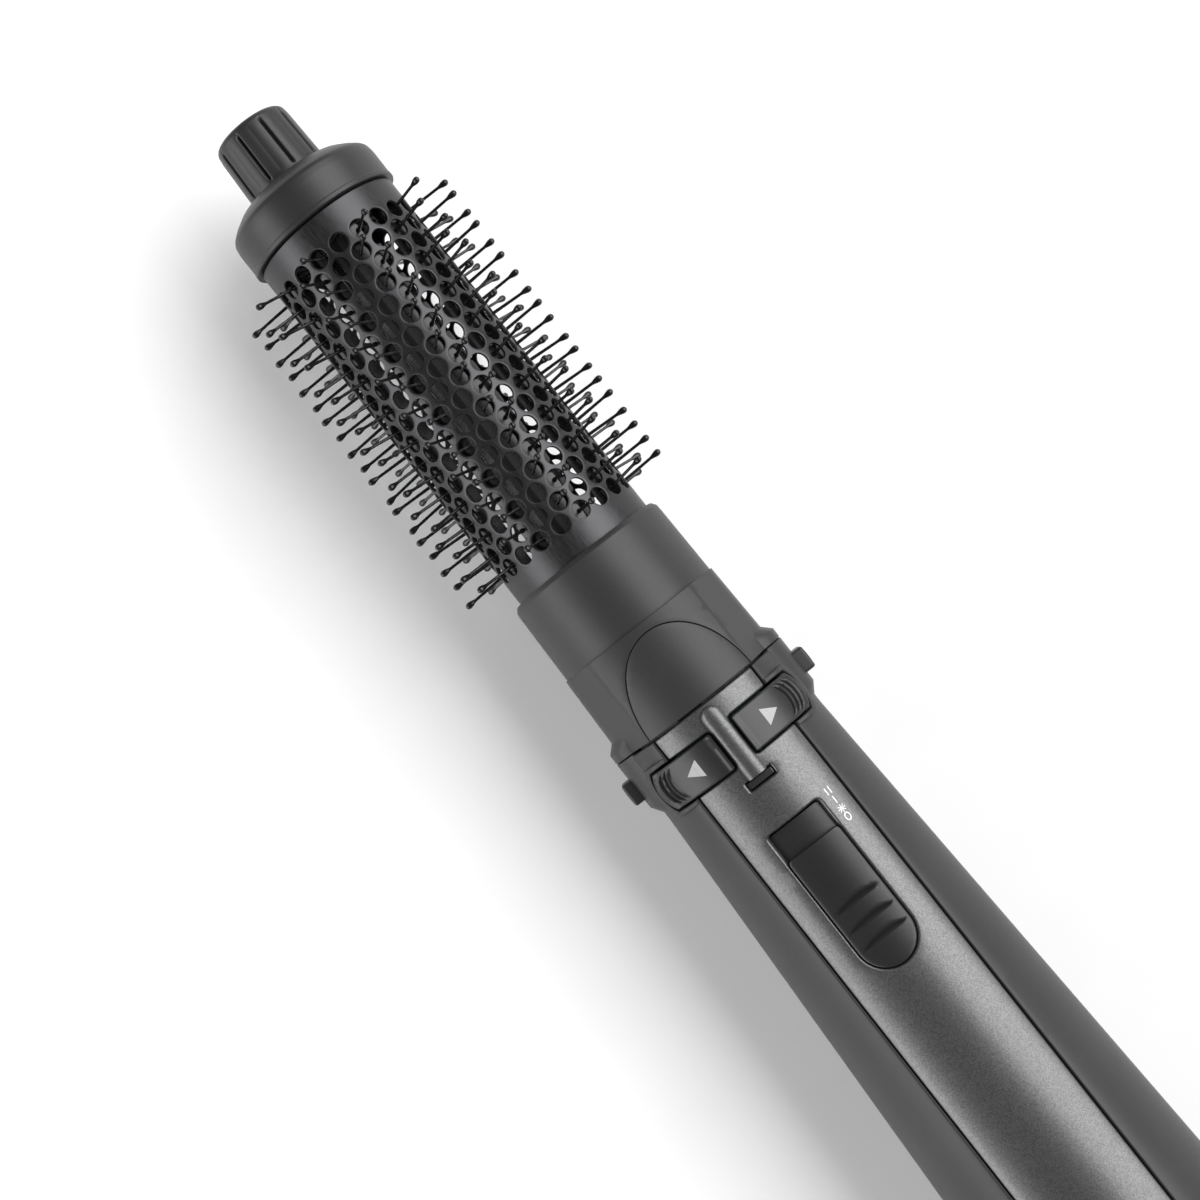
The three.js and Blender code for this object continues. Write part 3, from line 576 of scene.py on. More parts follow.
def tip_flange():
    """The plug in the barrel's end, a fine bead at its rim, and the rounded shoulder before it."""
    back = span("tip_flange")[0].x
    front = span("tip_flange")[1].x
    bore_r, plug_r, bead_r = 3.3, 14.7, 17.03
    rim = 144.8
    plug = [(back, bore_r, 0), (back, plug_r, 0.2), (rim, plug_r, 0)]
    bead = [(rim, 16.85, 0.12), (rim + 0.2, bead_r, 0.12), (rim + 0.9, bead_r, 0.12),
            (rim + 1.05, 16.92, 0.1)]
    shoulder = [(150.8, 16.95, 3), (152.8, 16.7, 2), (154.2, 15, 3), (155.6, 12.8, 3),
                (front, 10.6, 1), (front, bore_r, 0)]
    profile = rounded(plug + bead + shoulder, 0.4, steps=5)
    piece("tip_flange_cap", [lathe(profile, 160)], MATTE_BLACK, "barrel", ["tip_flange"])


def retract_knob():
    """A fluted knob: nine narrow rounded grooves between a plain foot and the rounded end."""
    base, end = span("retract_knob")[0].x, span("retract_knob")[1].x
    grooves = 9
    first_groove = 19
    groove_depth = 0.8
    half_width = 3.6                         # degrees
    groove_start, groove_end = base + 0.7, end - 1.3
    start_fade, end_fade = 0.5, 1.2
    crown_height = 0.10
    plain_below_r = 6

    def fluted(x, r, angle):
        if r < plain_below_r:
            return r
        pitch = 360 / grooves
        off = (angle - first_groove + pitch / 2) % pitch - pitch / 2
        across = max(0, 1 - abs(off) / half_width)
        along = min(1, max(0, (x - groove_start) / start_fade))
        along *= min(1, max(0, (groove_end - x) / end_fade))
        crown = crown_height * (1 - (abs(off) / (pitch / 2) - 0.5) ** 2 * 4)
        return r - groove_depth * (across * across * (3 - 2 * across)) * along + crown * along

    side = [(base, 8.2, 0.2), (base, 8.65, 0.3), (end, 8.2, 1.4), (end, 0)]
    outline = rounded(side, 0.3, steps=8, closed=False)
    row_length = 0.35
    profile = []
    for (x0, r0), (x1, r1) in zip(outline, outline[1:]):
        pieces = max(1, math.ceil(abs(x1 - x0) / row_length))
        profile.extend((x0 + (x1 - x0) * k / pieces, r0 + (r1 - r0) * k / pieces)
                       for k in range(pieces))
    profile.append(outline[-1])
    profile.insert(0, (base, 0))
    piece("tip_knob", [lathe(profile, 432, fluted)], MATTE_BLACK, "retractor", ["retract_knob"])


def pin(x, lean_x, lean_y, sides=10):
    """One styling pin: a thin stem that widens to a drop-shaped tip, leaning a little."""
    foot = [(14.2, 0.55), (14.9, 0.5), (15.6, 0.36)]
    stem = [(19, 0.32), (22.5, 0.31)]
    drop = [(22.95, 0.4), (23.4, 0.54), (23.9, 0.66), (24.35, 0.69), (24.7, 0.55), (24.92, 0.3)]
    outline = foot + stem + drop
    lean_start = 15
    points = []
    for height, radius in outline:
        share = max(0, height - lean_start) / (PIN_TIP_R - lean_start)
        ring = oval(x + lean_x * share, lean_y * share, radius, radius, sides)
        points.extend((px, py, height) for px, py in ring)
    points.append((x + lean_x, lean_y, PIN_TIP_R))
    faces = bands(0, len(outline), sides)
    last = (len(outline) - 1) * sides
    faces.extend((last + i, last + (i + 1) % sides, len(points) - 1) for i in range(sides))
    faces.append(tuple(reversed(range(sides))))
    return points, faces


def turned_about_axis(part, degrees):
    points, faces = part
    angle = math.radians(degrees)
    sin, cos = math.sin(angle), math.cos(angle)
    return [(x, y * cos + z * sin, z * cos - y * sin) for x, y, z in points], faces


def combs():
    """Ten strips of pins. Moulded pins never stand quite straight, so each leans its own way."""
    chance = random.Random(7)
    column_angle = 360 / HOLES_PER_RING / 4
    bar_r, bar_half, bar_taper = 14.6, 1.8, 0.16
    peg_r, peg_half, peg_root = 13.6, 0.4, 1

    def lean_of(mean, spread, most):
        return mean + max(-most, min(most, chance.gauss(0, spread)))

    def on_bar(u, v, depth):
        return (u, v * (1 - bar_taper * depth), bar_r - depth)

    def on_peg(u, v, depth):
        return (u, v, peg_r - depth)

    for comb in range(COMB_COUNT):
        name = f"comb_{comb + 1:02d}"
        low, high = span(f"pin_{name}")
        bar_outline = rounded(rectangle(COMB_BACK, -bar_half, COMB_FRONT, bar_half), 0.5)
        parts = [skin(on_bar, bar_outline, wall=2.1, edge=0.3, step=2.5)]
        for x0, x1 in ((low.x, COMB_BACK + peg_root), (COMB_FRONT - peg_root, high.x)):
            peg_outline = rounded(rectangle(x0, -peg_half, x1, peg_half), 0.15)
            parts.append(skin(on_peg, peg_outline, wall=2 * peg_half, edge=0.12, step=2.5))
        for ring in range(RING_COUNT):
            side = -1 if ring % 2 == 0 else 1
            along = lean_of(0, 0.4, 0.8)
            inward = lean_of(0.35, 0.2, 0.3)
            one = pin(FIRST_RING + ring * RING_PITCH, along, -side * inward)
            parts.append(turned_about_axis(one, side * column_angle))
        parts = [turned_about_axis(part, comb_angle(comb)) for part in parts]
        piece(f"{name}_pins", parts, PIN_BLACK, name, [f"pin_{name}"])


def collar_back_radius(x):
    """The collar widens a little towards the handle."""
    return 18.45 + (COLLAR_STEP - x) / (COLLAR_STEP - COLLAR_BACK) * 0.55


def crown_centre(x):
    """Height over the axis of the middle of the crown's arc."""
    return collar_back_radius(x) + CROWN_RISE - CROWN_R


def crease_height(x):
    """Height over the axis of the crease between the crowned top and a flank."""
    return crown_centre(x) + math.sqrt(CROWN_R ** 2 - PANEL_EDGE ** 2)


def crease_angle(x):
    return math.degrees(math.atan2(PANEL_EDGE, crease_height(x)))


def crowned_radius(x, degrees):
    """Behind its step the collar has a crowned top, flat flanks and a round underside."""
    r = collar_back_radius(x)
    centre = crown_centre(x)
    edge_z = crease_height(x)
    flank_end = 74
    angle = abs((degrees + 180) % 360 - 180)
    if angle <= crease_angle(x):
        a = math.radians(angle)
        return centre * math.cos(a) + math.sqrt(CROWN_R ** 2 - (centre * math.sin(a)) ** 2)
    if angle < flank_end:
        end_y, end_z = r * math.sin(math.radians(flank_end)), r * math.cos(math.radians(flank_end))
        normal = Vector((edge_z - end_z, end_y - PANEL_EDGE)).normalized()
        reach = normal.x * PANEL_EDGE + normal.y * edge_z
        a = math.radians(angle)
        return reach / (normal.x * math.sin(a) + normal.y * math.cos(a))
    return r


def on_collar(u, v, depth):
    """u along the axis, v round it, in millimetres of drawing."""
    return polar(u, crowned_radius(u, v / ARC) - depth, v / ARC)


def half_ellipse(apex, base, half_width, steps=36):
    """From one end of its straight side, round by its apex, to the other end."""
    return [(base + (apex - base) * math.cos(a), half_width * math.sin(a))
            for a in (math.radians(-90 + 180 * k / steps) for k in range(steps + 1))]


def collar():
    """A turned core with the step in front, and the cover behind the step: the top and flanks round
    an arch-shaped inlay, the underside and the ears."""
    front_r, step_r, sleeve_r = 17.8, 18.1, 17.15
    bearing_seat = 34.3
    sleeve_back = COLLAR_BACK + 0.3
    front = [(COLLAR_FRONT, COLLAR_BORE_R, 0.1), (COLLAR_FRONT, 17.0, 0.3), (60.6, 17.72, 0.8),
             (59, front_r, 1), (COLLAR_STEP - 0.2, step_r, 0)]
    back = [(COLLAR_STEP - 0.6, 17.2, 0), (sleeve_back, 17.6, 0), (sleeve_back, sleeve_r, 0),
            (bearing_seat, sleeve_r, 0), (bearing_seat, COLLAR_BORE_R, 0)]
    parts = [lathe(rounded(front + back, 0.2, steps=5), 160)]

    def arch(apex, half_width):
        return half_ellipse(apex, COLLAR_BACK, math.degrees(math.asin(half_width / DRAWING_R)) * ARC)

    seam = 180 * ARC - 0.1
    cover = rectangle(COLLAR_BACK, -seam, COLLAR_STEP, seam) + arch(42.0, 12.0)[::-1]
    creases = []
    for sign in (1, -1):
        creases.append([(x, sign * crease_angle(x) * ARC)
                        for x in np.linspace(COLLAR_BACK + 0.5, COLLAR_STEP - 0.5, 16)])
    parts.append(skin(on_collar, cover, wall=1.25, edge=0.14, step=1.1, lines=creases))
    swell_height, swell_x, swell_reach, swell_half = 0.35, 30, 13, 12.5

    def on_inlay(u, v, depth):
        x, y, z = on_collar(u, v, depth)
        along = max(0, 1 - ((u - swell_x) / swell_reach) ** 2)
        return (x, y, z + swell_height * along * max(0, 1 - (v / swell_half) ** 2))

    parts.append(skin(on_inlay, arch(41.87, 11.86), wall=1.25, edge=0.12, step=1.0))
    for sign in (1, -1):
        parts.append(ear(COLLAR_BACK, 26.9, 29.4, sign, 18.2))
    piece("collar_shell", parts, SOFT_BLACK, "brush_head", ["brush_collar"])


def ear(flat_end, slope_start, slope_end, sign, base_r):
    """One raised ear: level between flat_end and slope_start, then down to the surface."""
    low, high = min(flat_end, slope_end), max(flat_end, slope_end)
    from_angle, to_angle = 90 - EAR_HALF_ANGLE, 90 + EAR_HALF_ANGLE
    shoulder = 14                            # degrees over which its sides rise
    wall = 3

    def on_ear(u, v, depth):
        share = (u - slope_start) / (slope_end - slope_start)
        share = min(1, max(0, share))
        from_side = min(v / ARC - from_angle, to_angle - v / ARC) / shoulder
        share = 1 - (1 - share) * math.sin(math.pi / 2 * min(1, max(0, from_side)))
        top = EAR_R - (EAR_R - base_r) * share
        return polar(u, top - depth * (top - EAR_ROOT_R) / wall, sign * v / ARC)

    outline = rounded(rectangle(low, from_angle * ARC, high, to_angle * ARC), 0.4)
    crease = [(slope_start, v) for v in np.linspace(from_angle * ARC + 0.6, to_angle * ARC - 0.6, 20)]
    return skin(on_ear, outline, wall=wall, edge=0.2, step=1.0, lines=[crease])


# ---------------------------------------------------------------- handle

def handle_radius(x):
    """Level at the waist, then a straight taper out to the belly and a small one in behind it."""
    if x > WAIST_X:
        return WAIST_R
    if x > BELLY_X:
        return WAIST_R + (WAIST_X - x) * (BELLY_R - WAIST_R) / (WAIST_X - BELLY_X)
    return BELLY_R - 0.8 * ((BELLY_X - x) / (BELLY_X - SHELL_BACK)) ** 2


def on_handle(u, v, depth):
    """u along the axis, v round it, in millimetres of drawing."""
    return polar(u, handle_radius(u) - depth, v / ARC)


def on_panel(u, v, depth):
    """u along the axis, v across it."""
    r = handle_radius(u)
    angle = math.degrees(math.asin(v / r))
    return polar(u, r - depth, angle)


def button_outline(margin, end_margin):
    """A rotate button seen from outside, in (x, round) millimetres: square at its inner edge,
    bowed at its outer end. margin widens it all round and end_margin lengthens its outer end."""
    low, high = BUTTON_LOW.x - margin, BUTTON_HIGH.x + margin
    inner_angle, corner_angle = 7.6, 53
    inner = inner_angle * ARC - margin
    corner = corner_angle * ARC + end_margin
    arc = []
    steps = 12
    for k in range(steps + 1):
        t = k / steps
        arc.append((high + (low - high) * t, corner + BUTTON_BOW * ARC * (1 - (2 * t - 1) ** 2)))
    return [(low, inner), (high, inner)] + arc


def panel_edge_line(x):
    """Where the silver panel's edge lies, round the axis."""
    return math.degrees(math.asin((FRONT_PANEL_HALF + GAP) / handle_radius(x))) * ARC


def side_shell(sign):
    """One half of the casing: from the panel's edge down to the seam, with its ear and its lip."""
    gap = 0.4
    window = [p for p in button_outline(gap, 0.6) if p[1] > panel_edge_line(p[0]) - 0.001]
    front_of, behind = BUTTON_HIGH.x + gap, BUTTON_LOW.x - gap
    seam = 180 * ARC - 0.12
    outline = [(HANDLE_FRONT, panel_edge_line(HANDLE_FRONT)), (HANDLE_FRONT, seam), (SHELL_BACK, seam)]
    outline += [(x, panel_edge_line(x)) for x in np.linspace(SHELL_BACK, behind, 60)]
    outline += window[::-1]
    outline += [(front_of, panel_edge_line(front_of))]
    tab_half_angle = 12.4
    tab = rectangle(TAB_BACK - gap, (90 - tab_half_angle) * ARC, TAB_FRONT + gap,
                    (90 + tab_half_angle) * ARC)

    def at(u, v, depth):
        return on_handle(u, sign * v, depth)

    shell = skin(at, outline, holes=[rounded(tab, 0.4)], wall=1.8, edge=0.42, step=1.4)
    return [shell, ear(HANDLE_FRONT + 0.3, 13.9, 11.2, sign, 18.9), button_lip(sign)]


def button_lip(sign):
    """The raised rim of the casing round a button's outer end."""
    start_angle, rise_angle = 40, 12
    low_rise, full_rise = 0.15, 0.95

    def bowed(margin, end_margin):
        start = start_angle * ARC
        arc = button_outline(margin, end_margin)[2:]
        return [(BUTTON_HIGH.x + margin, start)] + arc + [(BUTTON_LOW.x - margin, start)]

    def at(u, v, depth):
        share = min(1, max(0, (v / ARC - start_angle) / rise_angle))
        top = WAIST_R + low_rise + full_rise * share * share * (3 - 2 * share)
        return polar(u, top - depth, sign * v / ARC)

    return skin(at, bowed(0.45, 0.65) + bowed(1.5, 1.75)[::-1], wall=2.2, edge=0.3, step=0.8)


def side_name(sign):
    return "left" if sign > 0 else "right"


def shells():
    for sign in (1, -1):
        side = side_name(sign)
        piece(f"{side}_shell", side_shell(sign), SOFT_BLACK, "handle", [f"{side}_side_shell"])


def recess_outline(front, half_width):
    """Half round behind and square in front, as the slider, its tray and their recess are."""
    start = RECESS_HALF - RECESS_REACH
    corner = 1.0
    steps = 28
    front_corners = rounded([(start, -half_width, 0), (front, -half_width, corner),
                             (front, half_width, corner), (start, half_width, 0)], corner, steps=5)
    arc = [(start + half_width * math.cos(a), half_width * math.sin(a))
           for a in (math.pi / 2 + math.pi * k / steps for k in range(1, steps))]
    return front_corners + arc


def in_slider_frame(x, y, z):
    """A point given along the slider's own sloping top line, from the middle of its recess."""
    tilt = math.radians(SLIDER_TILT)
    top = handle_radius(RECESS_X)
    return (RECESS_X + x * math.cos(tilt) + z * math.sin(tilt), y,
            top + z * math.cos(tilt) - x * math.sin(tilt))


def front_panel():
    """The silver strip along the top, cut away for the buttons, the window and the slider."""
    half = FRONT_PANEL_HALF
    gap = 0.35
    front_of, behind = BUTTON_HIGH.x + gap, BUTTON_LOW.x - gap
    inner = handle_radius(behind) * math.sin(math.radians(button_outline(gap, 0)[0][1] / ARC))
    back = span("front_panel")[0].x
    outline = [(back, -half, 0.3), (behind, -half, 0.5), (behind, -inner, 0.8), (front_of, -inner, 0.8),
               (front_of, -half, 0.5), (HANDLE_FRONT, -half, 0.3), (HANDLE_FRONT, half, 0.3),
               (front_of, half, 0.5), (front_of, inner, 0.8), (behind, inner, 0.8), (behind, half, 0.5),
               (back, half, 0.3)]
    low, high = span("indicator_window")
    window_half = 3.2
    window = rounded(rectangle(low.x - GAP, -window_half, high.x + GAP, window_half), 0.3)
    recess = [(in_slider_frame(x, y, 0)[0], y) for x, y in recess_outline(RECESS_REACH, RECESS_HALF)]
    plate = skin(on_panel, rounded(outline, 0.3), holes=[window, recess], wall=2, edge=0.5, step=1.3)
    piece("silver_panel", [plate], SILVER_PAINT, "handle", ["front_panel"])
    piece("panel_rib", [rib()], SILVER_PAINT, "handle")


def rib():
    """The half-round bar between the buttons, with a rounded front end."""
    back = span("indicator_window")[1].x + GAP
    front, half, height = 23.7, 2.2, 1.35
    sunk = 0.5
    rows = []
    steps = 18
    xs = [back] + list(np.linspace(back + 0.5, front - half, 12))
    xs += [front - half + half * math.sin(math.radians(9 * k)) for k in range(1, 10)]
    for x in xs:
        share = math.sqrt(max(0, 1 - max(0, (x - (front - half)) / half) ** 2))
        row = []
        for k in range(steps + 1):
            a = math.radians(-90 + 180 * k / steps)
            y = half * share * math.sin(a)
            crest = height * (0.35 + 0.65 * share) * max(0, math.cos(a)) ** 0.8
            if k in (0, steps):
                crest = -sunk
            row.append((x, y, math.sqrt(WAIST_R ** 2 - y * y) + crest - 0.02))
        rows.append(row)
    rows.append([(front - 0.02, 0, WAIST_R - sunk)] * (steps + 1))
    points = [p for row in rows for p in row]
    faces = []
    width = steps + 1
    starts = [r * width for r in range(len(rows))]
    for a, b in zip(starts, starts[1:]):
        faces.extend((a + k, a + k + 1, b + k + 1, b + k) for k in range(steps))
    faces.append(tuple(range(width))[::-1])
    faces.append(tuple(starts + [start + steps for start in reversed(starts)]))
    return points, faces


def window_lens():
    low, high = span("indicator_window")
    sunk, crown, half = 0.75, 0.12, 3

    def at(u, v, depth):
        return (u, v, WAIST_R - sunk + crown * (1 - (v / half) ** 2) - depth)

    outline = rounded(rectangle(low.x, low.y, high.x, high.y), 0.25)
    piece("window_lens", [skin(at, outline, wall=2, edge=0.15, step=0.5)], WINDOW_BLACK, "handle",
          ["indicator_window"])


def rotate_button(sign):
    """A satin cap with a bright inner lip, three bowed ridges and a printed arrow."""
    cap_r = 20.25
    middle, half = (BUTTON_LOW.x + BUTTON_HIGH.x) / 2, (BUTTON_HIGH.x - BUTTON_LOW.x) / 2
    ridge_angles = (44.5, 48.6, 52.7)
    ridge_half_angle, ridge_rise, ridge_reach = 1.35, 0.5, 0.86
    ridge_fade = 0.06
    line_reach = 0.87

    def ridge_height(angle, across):
        if abs(across) > ridge_reach:
            return 0
        height = 0
        bowed = angle + BUTTON_BOW * across ** 2
        for ridge_angle in ridge_angles:
            off = abs(bowed - ridge_angle) / ridge_half_angle
            if off < 1:
                height = max(height, ridge_rise * (1 - off * off) ** 0.7)
        return height * min(1, (ridge_reach - abs(across)) / ridge_fade)

    def top_radius(u, v):
        angle, across = v / ARC, (u - middle) / half
        inner_lip = 0.32 * math.exp(-((angle - 8.3) / 1.4) ** 2)
        end_lip = 0.3 * max(0, min(1, (angle + BUTTON_BOW * across ** 2 - 55) / 2.5))
        hollow = -0.22 * math.sin(math.pi * min(1, max(0, (angle - 8) / 46)))
        return cap_r + inner_lip + hollow + end_lip + ridge_height(angle, across)

    def at(u, v, depth):
        return polar(u, top_radius(u, v) - depth, sign * v / ARC)

    def on_post(u, v, depth):
        return (u, sign * v, 18 - depth)

    ridge_lines = []
    for ridge_angle in ridge_angles:
        for off in (-ridge_half_angle, -0.95, 0, 0.95, ridge_half_angle):
            ridge_lines.append([(middle + half * t, (ridge_angle + off - BUTTON_BOW * t * t) * ARC)
                                for t in np.linspace(-line_reach, line_reach, 15)])
    cap = skin(at, rounded(button_outline(0, 0), 0.5), wall=1.9, edge=0.45, step=0.45, lines=ridge_lines)
    post = skin(on_post, rounded(rectangle(13.9, 7, 16.3, 9), 0.2), wall=3.2, edge=0.15, step=0.8)
    side = side_name(sign)
    piece(f"{side}_rotate_cap", [cap, post], BUTTON_GREY, f"{side}_rotate",
          [f"{side}_rotate_button"], sharp=45)

    arrow_side, arrow_x, arrow_y = 3.9, 15.1, 9.0
    arrow_v = math.degrees(math.asin(arrow_y / 20.3)) * ARC
    reach = arrow_side / math.sqrt(3)
    corners = [(arrow_x + reach * math.sin(a), arrow_v + reach * math.cos(a), 0.06)
               for a in (0, 2 * math.pi / 3, 4 * math.pi / 3)]
    lift = 0.03

    def at_print(u, v, depth):
        return polar(u, top_radius(u, v) + lift - depth, sign * v / ARC)

    arrow = skin(at_print, rounded(corners, 0.12, steps=3), wall=0.12, edge=0.02, step=0.4, rim_steps=1)
    piece(f"{side}_rotate_arrow", [arrow], PRINT_GREY, f"{side}_rotate")


def release_tab(sign):
    """The square thumb tab of a side release button, with its guide plate and hook."""
    side = side_name(sign)
    low, high = span("left_release_button")
    middle, half_length = (TAB_BACK + TAB_FRONT) / 2, (TAB_FRONT - TAB_BACK) / 2
    crown_height = 0.25
    spring_r = 2
    hook_y, hook_tip_rise, hook_tip_start = 16.2, 0.5, 29

    def on_tab(u, v, depth):
        crown = crown_height * (1 - ((u - middle) / half_length) ** 2) * (1 - (v / TAB_HALF) ** 2)
        return (u, sign * (high.y - crown_height + crown - depth), v)

    def level(y):
        return lambda u, v, depth: (u, sign * (y - depth), v)

    def on_hook(u, v, depth):
        return (u, sign * (hook_y + (hook_tip_rise if u > hook_tip_start else 0) - depth), v)

    outline = rounded(rectangle(TAB_BACK, -TAB_HALF, TAB_FRONT, TAB_HALF), 0.7)
    pocket = oval(middle, 0, spring_r, spring_r, 24)
    cap = skin(on_tab, outline, wall=6.0, edge=0.5, step=0.5)
    neck = skin(level(16.9), outline, holes=[pocket], wall=1.3, edge=0.05, step=1.0)
    plate = skin(level(15.8), rounded(rectangle(low.x, -5.4, 20.4, 5.4), 0.5), holes=[pocket],
                 wall=1.4, edge=0.2, step=1.5)
    hook = skin(on_hook, rounded(rectangle(20, -2.5, high.x, 2.5), 0.4), wall=0.8, edge=0.2, step=1.0)
    piece(f"{side}_release_tab", [cap, neck, plate, hook], MATTE_BLACK, f"{side}_release",
          [f"{side}_release_button"])


def slider_top(y, z):
    """Height of a crowned plate over the slider frame's own plane, z at its middle."""
    r = handle_radius(RECESS_X)
    return math.sqrt(r * r - y * y) - r + z


def mode_slider():
    """The thumb slider: a crowned plate with three bowed grip grooves, in front of which the
    tray shows."""
    groove_xs = [x - RECESS_X for x in (-22.5, -26.9, -31.0)]
    groove_bow = 0.022                       # how far it curves back, by the square of y
    groove_reach, groove_half, groove_depth = 5.0, 0.95, 0.8

    def groove(x, y):
        reach = 1 - (y / groove_reach) ** 2
        if reach <= 0:
            return 0
        depth = 0
        for middle in groove_xs:
            off = (x - middle + groove_bow * y * y) / (groove_half * math.sqrt(reach))
            if abs(off) < 1:
                slope = (1 - abs(off)) if off < 0 else (1 - off) ** 0.6
                shape = (1 - abs(off)) ** 0.9 * (0.6 + 0.4 * slope)
                depth = max(depth, groove_depth * reach ** 0.5 * shape)
        return depth

    def at(u, v, depth):
        return in_slider_frame(u, v, slider_top(v, 0.12) - groove(u, v) - depth)

    def groove_line(middle, off):
        return [(middle - groove_bow * y * y
                 + off * groove_half * math.sqrt(1 - (y / groove_reach) ** 2), y)
                for y in np.linspace(-4.7, 4.7, 21)]

    groove_lines = [groove_line(middle, off) for middle in groove_xs for off in (-1, -0.6, 0, 0.35, 1)]
    plate = skin(at, recess_outline(SLIDER_FRONT, RECESS_HALF - GAP), wall=1.9, edge=0.3, step=0.6,
                 lines=groove_lines)
    piece("thumb_slider", [plate], SLIDER_BLACK, "slider", ["mode_slider"], sharp=50)

    def tray_at(u, v, depth):
        return in_slider_frame(u, v, slider_top(v, -1.45) - depth)

    slot = rounded(rectangle(-2, -1.8, 7.9, 1.8), 0.3)
    tray = skin(tray_at, recess_outline(RECESS_REACH - GAP, RECESS_HALF - GAP), holes=[slot], wall=1.5,
                edge=0.15, step=0.9)
    piece("slider_bed", [tray], SLIDER_BLACK, "handle", ["slider_tray"])


def print_symbols():
    """The four generic switch marks beside the slider: two bars, one bar, a star and a ring."""
    row_y = -8.65
    two_bars_x, one_bar_x, star_x, ring_x = -3.5, -5.64, -7.76, -9.64

    def bar(x, y, length, width, turn=0.0):
        c, s = math.cos(turn), math.sin(turn)
        corners = rectangle(-length / 2, -width / 2, length / 2, width / 2)
        return [(x + a * c - b * s, y + a * s + b * c) for a, b in corners]

    bars = [bar(two_bars_x, row_y - 0.4, 1.6, 0.22), bar(two_bars_x, row_y + 0.4, 1.6, 0.22),
            bar(one_bar_x, row_y, 1.6, 0.22)]
    star = [bar(star_x, row_y, 1.7, 0.16, turn) for turn in (0, math.pi / 4, math.pi / 2, -math.pi / 4)]
    outlines = [(outline, ()) for outline in bars + star]
    outlines.append((oval(ring_x, row_y, 0.9, 0.62, 28), [oval(ring_x, row_y, 0.66, 0.4, 28)]))

    def raised(lift):
        return lambda u, v, depth: on_panel(u, v, depth - lift)

    # Each mark lies a little higher than the last, so that the star's crossing bars don't flicker.
    parts = [skin(raised(0.03 + 0.004 * k), outline, holes=holes, wall=0.15, edge=0.02, step=0.4,
                  rim_steps=1)
             for k, (outline, holes) in enumerate(outlines)]
    piece("switch_symbols", parts, PRINT_WHITE, "handle")


def rear_cap():
    """The domed cap at the rear, with a ring of intake slots, drawn flat and rolled round."""
    low, high = span("rear_cap")
    outer = [(high.x, 24.2), (-150, 23.1), (-156, 20.2), (low.x, 14.8), (low.x, 6.3)]
    path = rounded(outer, 3.0, steps=8, closed=False)
    lengths = [0]
    for (x0, r0), (x1, r1) in zip(path, path[1:]):
        lengths.append(lengths[-1] + math.dist((x0, r0), (x1, r1)))
    total = lengths[-1]
    xs = [p[0] for p in path]
    rs = [p[1] for p in path]
    drawing_r = 20
    probe = 0.2

    def along(u):
        return np.interp(u, lengths, xs), np.interp(u, lengths, rs)

    def on_cap(u, v, depth):
        u = min(total, max(0, u))
        x, r = along(u)
        x0, r0 = along(max(0, u - probe))
        x1, r1 = along(min(total, u + probe))
        dx, dr = x1 - x0, r1 - r0
        size = math.hypot(dx, dr)
        return polar(x + depth * dr / size, r + depth * dx / size, math.degrees(v / drawing_r))

    around = 2 * math.pi * drawing_r
    slots = []
    slot_count, slot_start, slot_end = 12, 9, 21.5
    for k in range(slot_count):
        middle = around * (k + 0.5) / slot_count
        slots.append(rounded([(slot_start, middle - 1.1), (slot_end, middle - 2.0),
                              (slot_end, middle + 2.0), (slot_start, middle + 1.1)], 1.0, steps=5))
    cap = skin(on_cap, rectangle(0, 0.02, total, around - 0.02), holes=slots, wall=1.6, edge=0.3,
               step=1.4)
    piece("rear_cap_shell", [cap], SOFT_BLACK, "handle", ["rear_cap"])


def cord_gland():
    """The swivelling inlet: a flange inside the cap, a bead behind it, and four tapering ribs."""
    low, high = span("cord_gland")
    bore_r, flange_r, neck_r = 3.2, 8, 5.9
    flange_back = -157.7
    profile = [(high.x, bore_r, 0.1), (high.x, flange_r, 0.3), (flange_back, flange_r, 0.3),
               (flange_back, neck_r, 0.2), (-161, neck_r, 0.3), (-162.4, 6.4, 0.6),
               (-163.9, 5.6, 0.5), (-164.6, 5.5, 0.2)]
    for k in range(4):
        x = -165.2 - k * 1.1
        r = 5.3 - 0.2 * k
        profile += [(x, r - 0.55, 0.15), (x - 0.35, r - 0.6, 0.15), (x - 0.45, r, 0.15),
                    (x - 0.95, r - 0.05, 0.15)]
    profile += [(low.x, 4.5, 0.3), (low.x, bore_r, 0.2)]
    piece("gland", [lathe(rounded(profile, 0.2, steps=4), 96)], MATTE_BLACK, "swivel", ["cord_gland"])


# ---------------------------------------------------------------- inner pieces keep the CAD's shape

INNER = {
    # The pieces inside the barrel take the near-black painted shade.
    BARREL_INNER_PAINTED_SHADE: ["retract_spindle", "scroll_disc_tip", "scroll_disc_base"],
    GREY_PLASTIC: ["collar_bearing", "swivel_retainer", "reduction_gearbox", "motor_bracket",
                   "shaft_bearing", "fan_shroud", "fan_impeller"],
    MATTE_BLACK: ["drive_hub", "air_duct"],
    WINDOW_BLACK: ["left_rotate_switch", "right_rotate_switch", "mode_switch"],
    STEEL: ["casing_screw_1", "casing_screw_2", "left_release_spring", "right_release_spring",
            "brush_motor", "drive_shaft", "thermostat", "thermal_fuse", "fan_motor", "intake_filter"],
    MICA: ["heater_frame", "heater_sleeve"],
    WIRE: ["heater_coil"],
    BOARD: ["circuit_board"],
}


def dress_inner_pieces():
    for material, nodes in INNER.items():
        for name in nodes:
            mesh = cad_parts[name].data
            mesh.materials.clear()
            mesh.materials.append(material)


# ---------------------------------------------------------------- floor, lights and camera

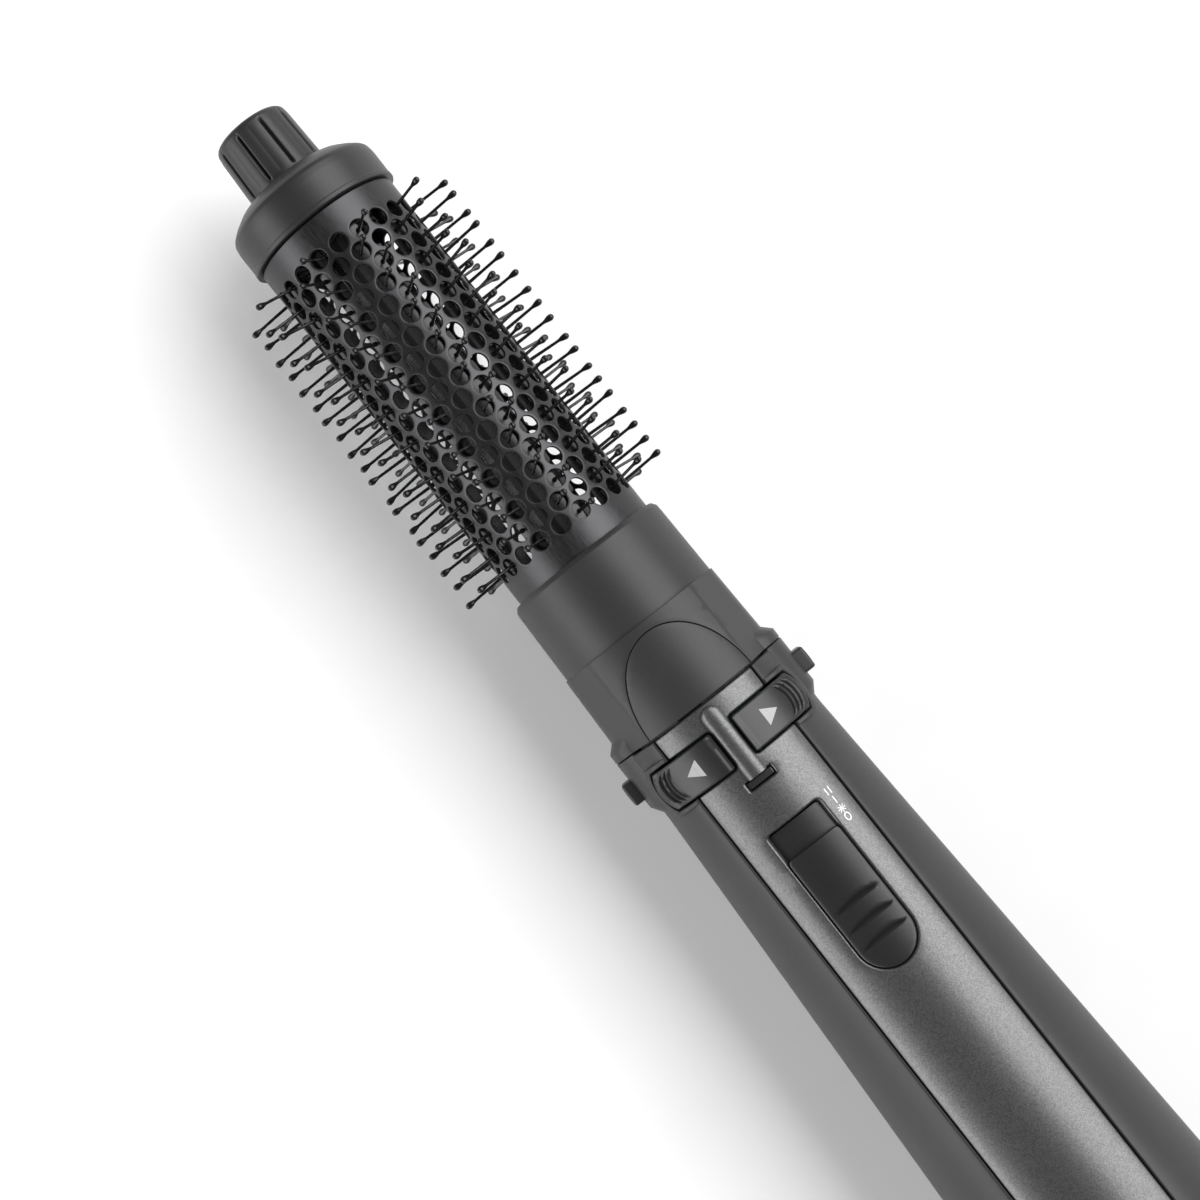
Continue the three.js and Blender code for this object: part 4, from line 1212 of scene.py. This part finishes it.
def floor():
    mesh = bpy.data.meshes.new("floor")
    size = 3.0
    corners = [(x, y, 0) for x, y in rectangle(-size, -size, size, size)]
    mesh.from_pydata(corners, [], [(0, 1, 2, 3)])
    material, tree, shader, where = new_material("floor_paper")
    paper = noise(tree, where, 40, 3)
    tree.links.new(ramp(tree, paper, (0.89,) * 3, (0.91,) * 3), shader.inputs["Base Color"])
    set_inputs(shader, {"Roughness": 0.9, "Specular IOR Level": 0.1})
    mesh.materials.append(material)
    plane = bpy.data.objects.new("floor", mesh)
    bpy.context.scene.collection.objects.link(plane)


def area_light(name, place_at, aim, width, height, power):
    data = bpy.data.lights.new(name, "AREA")
    data.shape = "RECTANGLE"
    data.size = width
    data.size_y = height
    data.energy = power
    light = bpy.data.objects.new(name, data)
    light.location = place_at
    light.rotation_euler = (Vector(aim) - Vector(place_at)).to_track_quat("-Z", "Y").to_euler()
    bpy.context.scene.collection.objects.link(light)


def lights():
    aim = (0.03, 0, 0.02)
    area_light("right_softbox", (0.05, -0.9, 0.9), aim, 1.9, 1.05, 31)
    area_light("left_softbox", (0.05, 1.1, 0.5), aim, 1.8, 0.7, 16.5)
    world = bpy.data.worlds.new("studio")
    world.use_nodes = True
    set_inputs(world.node_tree.nodes["Background"], {"Color": (1, 1, 1, 1), "Strength": 0.16})
    bpy.context.scene.world = world


def camera():
    data = bpy.data.cameras.new("camera")
    data.sensor_width = 36
    data.lens = 64.65
    data.shift_x = -0.0194
    data.shift_y = 0.0404
    eye = Vector((0.0422, 0.0053, 0.456))
    view_up = Vector((0.7855, -0.6189, 0)).normalized()
    forward = Vector((0, 0, -1))
    right = forward.cross(view_up)
    turn = Matrix((right, view_up, -forward)).transposed()
    lens = bpy.data.objects.new("camera", data)
    lens.matrix_world = Matrix.Translation(eye) @ turn.to_4x4()
    bpy.context.scene.collection.objects.link(lens)
    bpy.context.scene.camera = lens
    bpy.context.scene.view_settings.view_transform = "Standard"


camera()
floor()
lights()
barrel()
tip_flange()
retract_knob()
combs()
collar()
shells()
front_panel()
window_lens()
for side_sign in (1, -1):
    rotate_button(side_sign)
    release_tab(side_sign)
mode_slider()
print_symbols()
rear_cap()
cord_gland()
dress_inner_pieces()
